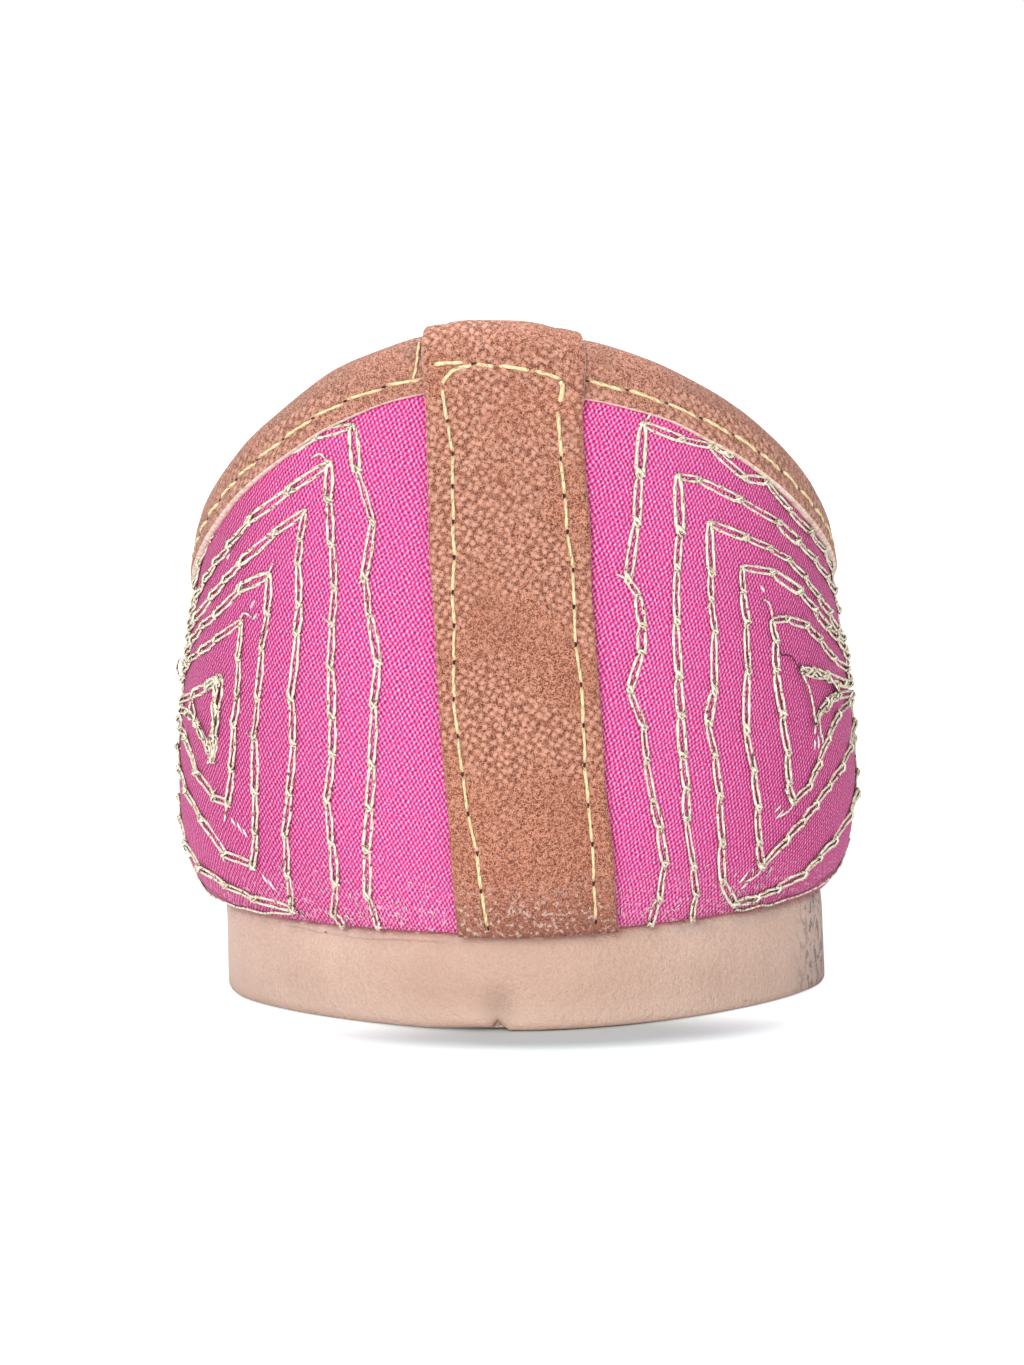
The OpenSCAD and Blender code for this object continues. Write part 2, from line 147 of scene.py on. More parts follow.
# %% The feather line and the top edge
back_z, side_z = heel_thickness + 53.3, heel_thickness + 33
waist_z = seat_z(waist_station) + 30
corner_z = seat_z(corner_station) + 32
throat_z = seat_z(throat_station) + 36
FEATHER_LINE = [
    (0, 0, 0), (13, 0, 0), (heel_half, heel_station - 12, 0), (heel_half, heel_station, 0),
    (heel_half, heel_station + 20, 0), (waist_half, waist_station - 28, 0),
    (waist_half, waist_station, 0), (waist_half, waist_station + 28, 0),
    (ball_half, ball_station - 32, 0), (ball_half, ball_station, 0),
    (ball_half, ball_station + 32, 0), (20, sole_length, 0), (0, sole_length, 0)]
TOP_LINE = [
    (0, 3.5, back_z), (20, 3.5, back_z), (29.9, 13.5, side_z + 5.5), (29.9, 33.5, side_z),
    (29.9, 53.5, side_z - 5.5), (29.5, 74, waist_z + 0.8), (29.5, 98, waist_z),
    (29.5, 118, waist_z - 0.7), (26.5, 129, corner_z - 1.2), (23, 138, corner_z),
    (19, 148.3, corner_z + 1.4), (10.35, throat_station, throat_z), (0, throat_station, throat_z)]
print("top edge is", back_z, "mm up at the back and", round(throat_z, 1), "mm at the throat")


def feather(u):
    p = chain(FEATHER_LINE, u)
    p.z = seat_z(p.y)
    return p


def outward(u):
    d = chain(FEATHER_LINE, min(4, u + 0.001)) - chain(FEATHER_LINE, max(0, u - 0.001))
    return Vector((d.y, -d.x, 0)).normalized()


def wall_guides(u):
    foot, top, out = feather(u), chain(TOP_LINE, u), outward(u)
    gap = Vector((foot.x - top.x, foot.y - top.y, 0))
    along = gap.normalized() if gap.length > 0.001 else out
    w = ease(u - 2.2)
    lie = (out * (1 - w) + along * w).normalized()
    up = Vector((0, 0, 1))
    return [foot, foot + out * at_station(belly, u) + up * at_station(rise, u),
            top + lie * at_station(reach, u) - up * at_station(drop, u), top]

# %% [markdown]
# The curves are measured once into a table, evenly up the wall, and every later step reads it.
# The two sides of the heel differ a little, as they do when cloth is pulled over by hand.

# %% A fine table of the wall
PER_STATION, WALL_ROWS, FINE = 64, 48, 96
belt_z = 20                   # the height at which distances round the shoe are measured
stations = [i / PER_STATION for i in range(4 * PER_STATION + 1)]


def run_lengths(points):
    """The distance run along a line at each of its points."""
    steps = np.linalg.norm(np.diff(np.array(points), axis=0), axis=1)
    return np.concatenate([[0], np.cumsum(steps)])


def measure_wall(top_roundness, side_belly):
    """Places, normals, heights and distances round of one side of the upper."""
    TOP_LINE[1] = (top_roundness, 3.5, back_z)
    belly[1] = side_belly
    at, height = [], []
    for u in stations:
        guides = wall_guides(u)
        line = np.array([bezier(guides, i / FINE) for i in range(FINE + 1)])
        run = run_lengths(line)
        even = np.linspace(0, run[-1], WALL_ROWS + 1)
        at.append(np.stack([np.interp(even, run, line[:, k]) for k in range(3)], axis=1))
        height.append(run[-1])
    at = np.array(at)
    mirrored = at * np.array([-1, 1, 1])
    wider = np.concatenate([mirrored[1:2], at, mirrored[-2:-1]])
    normal = np.cross(wider[2:] - wider[:-2], np.gradient(at, axis=1))
    normal /= np.linalg.norm(normal, axis=2)[:, :, None]
    at[:, :, 1] -= heel_station
    belt = [[np.interp(belt_z, np.linspace(0, tall, WALL_ROWS + 1), column[:, k])
             for k in range(3)] for tall, column in zip(height, at)]
    return {"at": at, "normal": normal, "height": np.array(height), "around": run_lengths(belt)}


walls = {1: measure_wall(18.8, 5.2), -1: measure_wall(21.4, 5.55)}
print("wall is %.1f mm high at the back and %.1f mm at the waist"
      % (walls[1]["height"][0], walls[1]["height"][2 * PER_STATION]))


def station_at(mm, side):
    """The station at a distance round the wall from the back, measured belt_z mm up."""
    return float(np.interp(mm, walls[side]["around"], stations))


def mm_round(u, side=1):
    return float(np.interp(u, stations, walls[side]["around"])) * side


def height_of_wall(u, side=1):
    return float(np.interp(u, stations, walls[side]["height"]))


def two_sides(q):
    """A station and a side from one number, below 0 on the left and above it on the right."""
    return abs(q), 1 if q >= 0 else -1


def face(u, up, out=0.0, side=1):
    """A place on the upper and its normal: station u, up mm above the sole, out mm off it."""
    wall = walls[side]
    c = min(max(u, 0), 4) * PER_STATION
    i = min(int(c), 4 * PER_STATION - 1)
    f = c - i
    if up < 0:
        foot, n = feather(u), outward(u)
        foot.y -= heel_station
        p = foot + n * up + Vector((0, 0, -1)) * out
        return Vector((p.x * side, p.y, p.z)), Vector((0, 0, -1))
    r = min(up / (wall["height"][i] * (1 - f) + wall["height"][i + 1] * f), 1) * WALL_ROWS
    j = min(int(r), WALL_ROWS - 1)
    g = r - j
    weights = ((i, j, (1 - f) * (1 - g)), (i + 1, j, f * (1 - g)),
               (i, j + 1, (1 - f) * g), (i + 1, j + 1, f * g))
    n = Vector(sum(wall["normal"][a, b] * w for a, b, w in weights)).normalized()
    p = Vector(sum(wall["at"][a, b] * w for a, b, w in weights)) + n * out
    return Vector((p.x * side, p.y, p.z)), Vector((n.x * side, n.y, n.z))


def round_rim(u, angle, radius, side=1):
    """A place on an arc over the top edge, 0 degrees on the outer face and 180 on the inner."""
    high = height_of_wall(u, side)
    top, n = face(u, high, 0, side)
    up = (top - face(u, high - 1.2, 0, side)[0]).normalized()
    a = math.radians(angle)
    off = n * math.cos(a) + up * math.sin(a)
    return top - n * stack_t / 2 + off * radius, off

# %% [markdown]
# Every piece starts as a flat grid of faces, as a pattern piece starts as a flat cut, and each
# of its corners is then moved to its place on the last. A grid whose two edges meet is welded
# along them, which makes a band or a cord. Every piece rides the one body of the shoe.

# %% Helpers that lay a grid
def new_work():
    """An empty mesh with the map that the finishes read."""
    bm = bmesh.new()
    bm.loops.layers.uv.new("laid")
    return bm


def grid_into(bm, columns, rows, place, is_edge=lambda a: False):
    """Adds a grid and moves each corner to place(column 0..1, row 0..1), which gives mm and UV."""
    first_corner, first_face, at = len(bm.verts), len(bm.faces), {}
    bmesh.ops.create_grid(bm, x_segments=columns, y_segments=rows, size=1)
    bm.verts.ensure_lookup_table()
    bm.faces.ensure_lookup_table()
    uv = bm.loops.layers.uv["laid"]
    for f in bm.faces[first_face:]:
        f.material_index = int(is_edge((f.calc_center_median().x + 1) / 2))
    for v in bm.verts[first_corner:]:
        p, at[v] = place((v.co.x + 1) / 2, (v.co.y + 1) / 2)
        v.co = p * MM
    for f in bm.faces[first_face:]:
        f.smooth = True
        for loop in f.loops:
            loop[uv].uv = at[loop.vert]


def weld(bm, within_mm):
    bmesh.ops.remove_doubles(bm, verts=bm.verts, dist=within_mm * MM)
    bmesh.ops.recalc_face_normals(bm, faces=bm.faces)


def keep_mesh(name, bm):
    mesh = bpy.data.meshes.new(name)
    bm.to_mesh(mesh)
    bm.free()
    print(name, "has", len(mesh.polygons), "faces")
    return mesh


def finish_piece(name, bm, *finishes):
    piece = bpy.data.objects.new(name, keep_mesh(name, bm))
    scene.collection.objects.link(piece)
    for finish in finishes:
        piece.data.materials.append(finish)
    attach(piece, "root")
    return piece


def lay_band(name, columns, rows, place, *finishes, is_edge=lambda a: False, capped=False):
    bm = new_work()
    grid_into(bm, columns, rows, place, is_edge)
    weld(bm, 0.001)
    bmesh.ops.dissolve_degenerate(bm, edges=bm.edges, dist=1e-7)
    if capped:
        bmesh.ops.holes_fill(bm, edges=bm.edges, sides=0)
    bmesh.ops.recalc_face_normals(bm, faces=bm.faces)
    return finish_piece(name, bm, *finishes)

# %% [markdown]
# A finish is built from a few kinds of node: a place in millimetres, a noise or a cell pattern
# for the grain, a ramp for its colours, and a bump for what the finger would feel. A small class
# adds them, and lets the recipes below be written as sums, so that each stays readable.

# %% Helpers for the finishes
def rgb(r, g, b):
    """A screen colour as the linear one that a shader takes."""
    return tuple((c / 12.92 if c <= 0.04045 else ((c + 0.055) / 1.055) ** 2.4)
                 for c in (r / 255, g / 255, b / 255)) + (1.0,)


class Value:
    """What a finish works out at each point. Sums, products and between() add nodes to it."""

    def __init__(self, finish, socket):
        self.finish, self.socket = finish, socket

    def __add__(self, other):
        return self.finish.math("ADD", self, other)

    def __sub__(self, other):
        return self.finish.math("SUBTRACT", self, other)

    def __mul__(self, other):
        return self.finish.math("MULTIPLY", self, other)

    def between(self, low, high):
        """0 at low and 1 at high, with soft ends. Low may be the larger."""
        return self.finish.add("MapRange", {"Value": self, "From Min": low, "From Max": high},
                               interpolation_type="SMOOTHSTEP")


class Finish:
    """A material in the making. Its tone is the colour laid on so far."""

    def __init__(self, name, **sockets):
        self.material = bpy.data.materials.new(name)
        self.material.use_nodes = True
        self.tree = self.material.node_tree
        self.shader = self.tree.nodes["Principled BSDF"]
        for socket, value in sockets.items():
            self.set(self.shader, socket.replace("_", " "), value)

    def set(self, node, socket, value):
        if isinstance(value, Value):
            self.tree.links.new(value.socket, node.inputs[socket])
        else:
            node.inputs[socket].default_value = value

    def add(self, kind, inputs, out=0, **settings):
        node = self.tree.nodes.new("ShaderNode" + kind)
        for key, value in settings.items():
            setattr(node, key, value)
        for socket, value in inputs.items():
            self.set(node, socket, value)
        return Value(self, node.outputs[out])

    def math(self, what, a, b=0.0):
        return self.add("Math", {0: a, 1: b}, operation=what)

    def vector(self, what, *inputs, out=0):
        return self.add("VectorMath", dict(enumerate(inputs)), out, operation=what)

    def place_mm(self, turn=(0, 0, 0), scale=(1, 1, 1)):
        """The object's own place in millimetres."""
        where = self.add("TexCoord", {}, "Object")
        return self.add("Mapping", {"Vector": where, "Rotation": [math.radians(t) for t in turn],
                                    "Scale": [1000 * s for s in scale]})

    def laid_mm(self, turn=0):
        """The place on the piece as it was laid out, in millimetres."""
        where = self.add("UVMap", {}, uv_map="laid")
        return self.add("Mapping", {"Vector": where, "Rotation": (0, 0, math.radians(turn))})

    def axes(self, where):
        node = self.add("SeparateXYZ", {"Vector": where}).socket.node
        return [Value(self, axis) for axis in node.outputs]

    def noise(self, where, per_mm, detail=2, rough=0.5, out="Fac"):
        return self.add("TexNoise", {"Vector": where, "Scale": per_mm, "Detail": detail,
                                     "Roughness": rough}, out)

    def flecks(self, where, per_mm, low, high):
        """Small crumbs where a rough noise is above a limit."""
        return self.noise(where, per_mm, 4, 0.75).between(low, high)

    def cells(self, where, per_mm):
        return self.add("TexVoronoi", {"Vector": where, "Scale": per_mm}, "Distance")

    def wave(self, along, long):
        """A wave from -1 to 1, long mm from crest to crest."""
        return self.math("COSINE", along * (TURN / long))

    def ramp(self, value, *stops):
        """Starts the tone with colours from stops (position, colour) of a value."""
        self.tone = self.add("ValToRGB", {"Fac": value})
        line = self.tone.socket.node.color_ramp.elements
        while len(line) < len(stops):
            line.new(0.5)
        for element, (position, colour) in zip(line, stops):
            element.position, element.color = position, rgb(*colour)

    def mix(self, share, a, b):
        return self.add("Mix", {0: share, 6: a, 7: b}, 2, data_type="RGBA")

    def tint(self, colour, strength, *masks):
        """Lays a colour over the tone, as strong as this where every mask is 1."""
        share = masks[0]
        for mask in masks[1:]:
            share = share * mask
        over = colour if isinstance(colour, Value) else rgb(*colour)
        self.tone = self.mix(share * strength, self.tone, over)

    def done(self, height=None, deep_mm=0.1, strength=0.5):
        self.set(self.shader, "Base Color", self.tone)
        if height:
            self.set(self.shader, "Normal", self.add("Bump", {
                "Height": height, "Distance": deep_mm * MM, "Strength": strength}))
        print("finish", self.material.name, "has", len(self.tree.nodes), "nodes")
        return self.material

# %% [markdown]
# The cloth is a plain weave of bright pink yarn. Its floats stand in rows like bricks, about
# half a millimetre apart; the colour puts painted highlights on the floats and painted shade
# in the gaps between them. Two crossed waves give that pattern, and a slow noise bends the
# rows, because the cloth was pulled over the last by hand. Further round the sides the cloth
# is given painted shade, with deeper painted shade in the gaps and brighter painted highlights
# on the crests. Close to the sole it carries pale flecks of dried glue.

# %% Pink cloth
f = Finish("pink_cloth", Roughness=0.8, Sheen_Weight=0.06, Sheen_Roughness=0.5)
laid = f.laid_mm(turn=14)
bend = f.vector("SUBTRACT", f.noise(laid, 0.55, out="Color"), (0.5, 0.5, 0.5))
bent = f.vector("MULTIPLY_ADD", bend, (0.55, 0.55, 0), laid)
across, along, _ = f.axes(bent)
floats = f.wave(across, 0.46) * f.wave(along, 0.70) * 0.5 + 0.5
uneven = f.noise(f.vector("MULTIPLY", bent, (1, 1.8, 1)), 2.9, 3, 0.7)
lift = (uneven - 0.5) * 1.5 + floats
# Painted light: the ramp runs from painted shade in the gaps to painted highlights on the floats,
# over the pink of the yarn.
f.ramp(lift, (0.05, (132, 8, 74)), (0.38, (230, 60, 148)), (0.68, (253, 108, 187)),
       (1.0, (255, 206, 240)))
f.tint((230, 64, 122), 0.25, f.noise(bent, 2.4).between(0.54, 0.66))
f.tint((206, 80, 152), 0.15, f.noise(laid, 0.12).between(0.35, 0.75))
# Painted shade round the sides, with deeper painted shade in the gaps and painted highlights on the
# crests there, and glue at the foot
round_mm, up_mm, _ = f.axes(f.laid_mm())
shade = f.math("ABSOLUTE", round_mm).between(13, 38)
f.tint(f.mix(lift, rgb(88, 0, 50), rgb(250, 66, 160)), 0.62, shade)
f.tint((112, 4, 64), 0.55, lift.between(0.42, 0.15), shade)
f.tint((255, 172, 222), 0.45, lift.between(0.62, 0.95), shade)
f.tint((244, 214, 222), 0.8, f.flecks(laid, 1.9, 0.565, 0.60), up_mm.between(6.5, 0.5))
pink_cloth = f.done(lift, 0.09, 0.9)

# %% [markdown]
# The binding and the heel strip are soft tan leather with a fine, mottled, almost suede face:
# a fine noise for the nap, cells for the pores, slow patches where it has rubbed, and in
# places, in slanting rows, painted highlights on raised pebbles of grain with painted shade in
# the gullies between them; on the strip these, and further pale painted highlight flecks, lie
# higher up. Its cut edges are pale and fibrous. The foot of the strip is darker from handling,
# and carries crumbs of glue.

# %% Tan leather
def make_tan_leather(name, base, pale, dark, is_strip=False):
    f = Finish(name, Roughness=0.72, Sheen_Weight=0.08, Sheen_Roughness=0.5)
    where = f.place_mm()
    high = f.axes(where)[2]
    nap = f.noise(where, 7.5, 3, 0.7)
    patches = f.noise(where, 0.22, 3)
    grain = (f.cells(where, 3.0) - 0.45) * 0.2 + nap
    f.ramp(grain, (0.38, dark), (0.49, base), (0.60, pale))
    f.tint(base, 0.25, patches.between(0.4, 0.7))
    rows = f.add("TexVoronoi", {"Vector": f.laid_mm(turn=34), "Scale": 1.4, "Randomness": 0.5},
                 "Distance", voronoi_dimensions="2D")
    pebble_light_and_shade_zone = f.noise(where, 0.12, 3).between(0.40, 0.54)
    if is_strip:
        pebble_light_and_shade_zone = pebble_light_and_shade_zone * high.between(15, 27)
    pebble = ((nap - 0.5) * 0.6 + rows).between(0.34, 0.14) * pebble_light_and_shade_zone
    # Painted shade in the gullies between the pebbles, and painted highlights on the pebbles.
    f.tint(dark, 0.32, rows.between(0.42, 0.58), pebble_light_and_shade_zone)
    f.tint((232, 182, 160), 0.6, pebble)
    if is_strip:
        f.tint((130, 78, 62), 0.62, (patches * 6 + high).between(18.5, 11.0))
        # Painted highlights: pale flecks on the grain higher up the strip.
        f.tint((232, 188, 170), 0.5, high.between(24, 62), f.flecks(where, 2.2, 0.565, 0.60))
        f.tint((228, 202, 190), 0.7, high.between(16, 11), f.flecks(where, 2.0, 0.55, 0.59))
    return f.done(pebble * 0.3 + grain, 0.12, 0.8)


strip_leather = make_tan_leather("strip_leather", (164, 97, 70), (221, 155, 127), (88, 42, 28),
                                 is_strip=True)
binding_leather = make_tan_leather("binding_leather", (174, 112, 88), (222, 164, 142),
                                   (104, 56, 41))

f = Finish("cut_edge", Roughness=0.85)
where = f.place_mm()
f.ramp(f.noise(where, 2.2, 3, 0.6), (0.3, (206, 172, 152)), (0.5, (236, 214, 198)),
       (0.7, (252, 240, 230)))
cut_edge = f.done(f.noise(where, 5), 0.06, 0.6)

# %% [markdown]
# The sole is moulded in a skin-coloured rubber with a matt face. It is mottled and darker in
# the middle, with painted light along its rounded lower edge, a few dark and pale specks, a
# patchy grey band just under the joint, painted shade in the dent at the notch and towards the
# right end, and a scuffed, creased right end.

# %% Moulded sole
f = Finish("sole_rubber", Roughness=0.44)
where = f.place_mm()
side, ahead, high = f.axes(where)
fine = f.noise(where, 4.0, 3, 0.7)
f.ramp((fine - 0.5) * 1.5 + f.noise(where, 0.09, 3, 0.6), (0.30, (212, 178, 159)),
       (0.5, (221, 188, 169)), (0.70, (230, 198, 180)))
# A patchy grey band under the joint, the specks, the middle, and painted light along the lower edge
f.tint((176, 156, 146), 0.55, high.between(heel_thickness - 2.2, heel_thickness - 0.2),
       f.noise(where, 0.4, 4, 0.6).between(0.38, 0.56))
f.tint((112, 74, 56), 0.8, f.cells(where, 0.24).between(0.052, 0.03))
pale_specks = f.cells(f.place_mm(turn=(0, 40, 0)), 0.3).between(0.055, 0.035)
f.tint((246, 228, 212), 0.7, pale_specks)
f.tint((194, 155, 131), 0.42, side.between(-18, -5), side.between(16, 8))
# Painted light along the rounded lower edge, which stands in for light bounced up from the floor.
f.tint((238, 210, 192), 0.5, high.between(4, 0.2))
# Painted shade in the dent at the notch, a pale scuff beside it, painted shade towards the right
# end, and the scuffed right end
from_dent_shade, from_scuff = (f.vector("DISTANCE", where, (x, y, 2.6), out="Value")
                           for x, y in ((-2.4, -29.8), (-1.2, -29.9)))
# Painted shade in the dent at the notch.
f.tint((142, 118, 104), 0.5, from_dent_shade.between(2.8, 0.4))
f.tint((240, 222, 206), 0.8, from_scuff.between(1.6, 0.4), fine.between(0.5, 0.62))
# Painted shade: the right side, away from the lamps, is greyed.
f.tint((168, 152, 144), 0.28, side.between(24, 31))
crease = f.add("TexNoise", {"Vector": f.place_mm(scale=(0.6, 0.6, 0.45)), "Scale": 1.9,
                            "Detail": 5, "Roughness": 0.72, "Distortion": 0.6}, "Fac")
scuffed_end = side.between(25.2, 28.6) * ahead.between(22, 2)
f.tint((84, 70, 64), 0.8, scuffed_end, crease.between(0.50, 0.56))
wrinkle = f.noise(where, 1.7, 2, 0.6)
sole_rubber = f.done(wrinkle * 1.6 + fine + crease * scuffed_end * -3.0, 0.16, 0.8)

# %% [markdown]
# The embroidery thread is a pale gold twist, with painted highlights where the wrap catches the
# light, painted shade in the grooves of the twist, and painted shade along the lower half of the
# cord, where shade falls between cord and cloth. The sewing thread of the leather is plain
# waxed cream, with the same painted light.

# %% Threads
def make_thread(name, bright, mid, dark, metal, rough, spread):
    """Two plies twisted together; spread says how uneven they are."""
    f = Finish(name, Roughness=rough, Metallic=metal)
    round_cord, along_cord, _ = f.axes(f.laid_mm())
    ply = f.math("SINE", (round_cord * 2 + along_cord) * TURN)
    uneven = f.noise(f.place_mm(), 2.4, 3, 0.65)
    f.ramp(ply * 0.10 + ((uneven - 0.5) * spread + 0.5), (0.22, dark), (0.40, mid),
           (0.58, bright))
    # Painted shade: the lower half of the cord, towards the cloth, is darkened.
    crown = f.math("SINE", round_cord * TURN)
    f.tint(dark, 0.9, crown.between(0.25, -0.25))
    return f.done(ply, 0.05, 0.8)


gold_thread = make_thread("gold_thread", (255, 251, 233), (247, 232, 197), (100, 70, 46),
                          0.1, 0.45, 1.6)
cream_thread = make_thread("cream_thread", (252, 236, 190), (238, 214, 160), (176, 140, 94),
                           0.0, 0.6, 1.1)
bare_canvas = make_thread("bare_canvas", (255, 252, 248), (248, 236, 232), (220, 176, 188),
                          0.0, 0.8, 1.0)


# Near-black: the painted shade in needle holes, and one stray dark thread.
f = Finish("hole_shade_and_dark_thread", Roughness=0.9)
f.ramp(f.noise(f.place_mm(), 3), (0.3, (26, 16, 14)), (0.7, (74, 46, 38)))
hole_shade_and_dark_thread = f.done()

# %% [markdown]
# Inside, the shoe is lined with smooth cream leather over canvas, on a board and a foam pad.
# Only the lining is seen, but every layer has the finish of its own stuff.

# %% Inner finishes
def make_fibre(name, base, dark, per_mm, deep, rough=0.85):
    f = Finish(name, Roughness=rough)
    grain = f.noise(f.place_mm(), per_mm, 4, 0.6)
    f.ramp(grain, (0.3, dark), (0.6, base))
    return f.done(grain, deep)


f = Finish("canvas", Roughness=0.9)
_, y, z = f.axes(f.place_mm())
weave = f.wave(y, 0.9) * f.wave(z, 0.9) * 0.5 + 0.5
f.ramp(weave, (0, (190, 182, 162)), (1, (232, 226, 208)))
canvas = f.done(weave, 0.1, 0.6)
lining_leather = make_fibre("lining_leather", (226, 204, 174), (204, 178, 146), 1.4, 0.05, 0.6)
board = make_fibre("board", (150, 124, 98), (112, 90, 70), 2.2, 0.08)
foam = make_fibre("foam", (238, 226, 194), (214, 200, 164), 2.6, 0.1)
for finish, nodes in ((canvas, "bottom_filler left_interlining right_interlining vamp_interlining"),
                      (board, "insole_board heel_counter toe_puff"),
                      (foam, "footbed_cushion"), (lining_leather, "sock_lining")):
    for node in nodes.split():
        for slot in bpy.data.objects[node].material_slots:
            slot.material = finish
        print(node, "wears", finish.name)

# %% [markdown]
# Two quarters and a vamp are cut from the cloth. The quarters meet under the heel strip and
# join the vamp at a seam beside the instep. Each is laid as one smooth sheet from the lasting
# margin under the sole edge up to the top edge, and then given its thickness. The lining has
# the same three pieces, set in behind the interlining.

# %% Cloth and lining
seam_at = 1 + 5 / 6
margin = 8.0
lining_in = -stack_t
flat_out_z = 42               # the height from which the toe's pattern is laid out flat


def shell_rows(high, thick, rows=52):
    """Goes up the outer face of a piece from its lasting margin, and down its inner face."""
    outer = [(-margin, 0), (-4, 0), (-1.2, 0)] + [(high * i / rows, 0) for i in range(rows + 1)]
    inner = [(high * i / rows, -thick) for i in range(rows, 1, -1)]
    return outer + inner + [(-thick, -thick), (-4, -thick), (-margin, -thick)]


shell_count = len(shell_rows(50, 1))


def shell_place(spans, out, thick):
    """spans(a) gives the station and the side at share a of the way along the piece."""
    def place(a, b):
        u, side = spans(a)
        up, inwards = shell_rows(height_of_wall(u, side), thick)[round(b * shell_count)
                                                                 % shell_count]
        if a < 1e-6 or a > 1 - 1e-6:
            inwards = -thick / 2
        p, n = face(u, up, out + inwards, side)
        if u > seam_at + 5e-6:
            fall, turn = flat_out_z - p.z, outward(u)
            return p, (side * (abs(p.x) + turn.x * fall), p.y + turn.y * fall)
        return p, (mm_round(u, side), up)
    return place


def vamp_span(a):
    return 4 - abs(2 * a - 1) * (4 - seam_at) + 0.00001, 1 if a >= 0.5 else -1


def lay_shell(name, replaced, columns, spans, out, thick, finish):
    piece = lay_band(name, columns, shell_count, shell_place(spans, out, thick), finish)
    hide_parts(replaced)


for part, spans, columns in (("right_quarter", lambda a: (seam_at * a, 1), 118),
                             ("left_quarter", lambda a: (seam_at * a, -1), 118),
                             ("vamp", vamp_span, 280)):
    lay_shell(part + "_cloth", part, columns, spans, 0, cloth_t, pink_cloth)
    lay_shell(part + "_inner", part + "_lining", columns // 2, spans,
              -cloth_t - stiffener_t, lining_t, lining_leather)

# %% [markdown]
# The binding is a strip of leather folded over the raw top edge and stitched through near its
# lower edge, so it is puffed at the rim, pinched at the stitches and slightly lifted at its cut
# edge. Its section is drawn once and carried round the whole mouth of the shoe.

# %% Binding
binding_stitch = 1.8          # distance of the stitches below the top edge
rim_radius = stack_t / 2 + binding_t


def binding_lift(down):
    """How far the binding's face stands off the cloth."""
    pinch = 0.16 * bell(down, binding_stitch, 0.45)
    return binding_t - pinch - 0.12 * ease((down - binding_width + 0.5) / 0.5)


section = [("out", binding_width + d, lift) for d, lift in ((0, 0.02), (0.06, 0.38), (-0.06, 0.74))]
section += [("out", d, None) for d in (3.1, 2.75, 2.4, 2.1, 1.8, 1.5, 1.2, 0.8, 0.4, 0)]
section += [("rim", a, None) for a in (18, 36, 54, 72, 90, 108, 126, 144, 162)]
section += [("in", d, None) for d in (0, 0.8, 1.5, 1.8, 2.1, 2.8, 3.2)]
section += [("in", binding_width, 0.6), ("in", binding_width, 0.02)]
section += [("in", 1.8, -0.3), ("in", 0.3, -0.4), ("out", 0.3, -0.4), ("out", 1.8, -0.3)]
wobble = [chance.uniform(-1, 1) for _ in range(256)]


def waver(mm, each):
    """A smooth hand-cut unevenness, from -1 to 1, that changes every few millimetres."""
    i = math.floor(mm / each)
    w = ease(mm / each - i)
    return wobble[i % 256] * (1 - w) + wobble[(i + 1) % 256] * w


pull = {1: -0.28, -1: 0.42}


def leaning(p):
    """The top of the heel is pulled up a little on the left and down on the right."""
    by = pull[1 if p.x > 0 else -1] * ease(abs(p.x) / 6) * ease((22 - abs(p.x)) / 6)
    return p + Vector((0, 0, by * ease((p.z - 44) / 8) * ease((10 - p.y) / 10)))


def binding_place(a, b):
    kind, where, lift = section[round(a * len(section)) % len(section)]
    u, side = two_sides(8 * b - 4)
    mm = mm_round(u, side)
    if kind == "rim":
        p, _ = round_rim(u, where, rim_radius + 0.07 * waver(mm, 4), side)
    else:
        down = where + (0.14 * waver(mm + 60, 5) if where > 2.5 else 0)
        off = binding_lift(down) if lift is None else lift
        p, _ = face(u, height_of_wall(u, side) - down, off if kind == "out" else lining_in - off,
                    side)
    return leaning(p), (where, mm)


binding = lay_band("binding_leather_edge", len(section), 512, binding_place, binding_leather,
                   cut_edge, is_edge=lambda a: a * len(section) < 2)
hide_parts("topline_binding")

# %% [markdown]
# The heel strip is one piece of leather glued and sewn over the back seam. It rises from the
# sole, climbs over the binding, folds over the rim and ends inside. It leans a little to one
# side, as hand work does, and its rounded cut edges are pale.

# %% Heel strip
strip_width, strip_t, strip_foot_x, strip_top_x, glue_t = 14.5, 1.0, 1.6, -0.5, 0.1
half = strip_width / 2
tail = 13.4                   # how far the strip runs down inside
back_high = height_of_wall(0)
rim_arc = math.pi * (rim_radius + 0.6)
strip_run = back_high + rim_arc + tail
stitch_groove, crown = 0.14, 0.10


def beside_back(x, up):
    """The station where the wall, at this height, is x mm from the middle of the heel."""
    wall, count = walls[1 if x >= 0 else -1], PER_STATION + 1
    r = np.clip(up / wall["height"][:count], 0, 1) * WALL_ROWS
    j = np.minimum(r.astype(int), WALL_ROWS - 1)
    rows = np.arange(count)
    near = wall["at"][rows, j, 0] * (1 - r + j) + wall["at"][rows, j + 1, 0] * (r - j)
    return float(np.interp(abs(x), near, stations[:count]))


def strip_middle(up):
    t = min(1, max(0, up / back_high))
    return strip_top_x + (strip_foot_x - strip_top_x) * (1 - t) ** 2


def over_binding(down):
    return (binding_t - 0.05) * ease((binding_width + 1.6 - down) / 1.6)


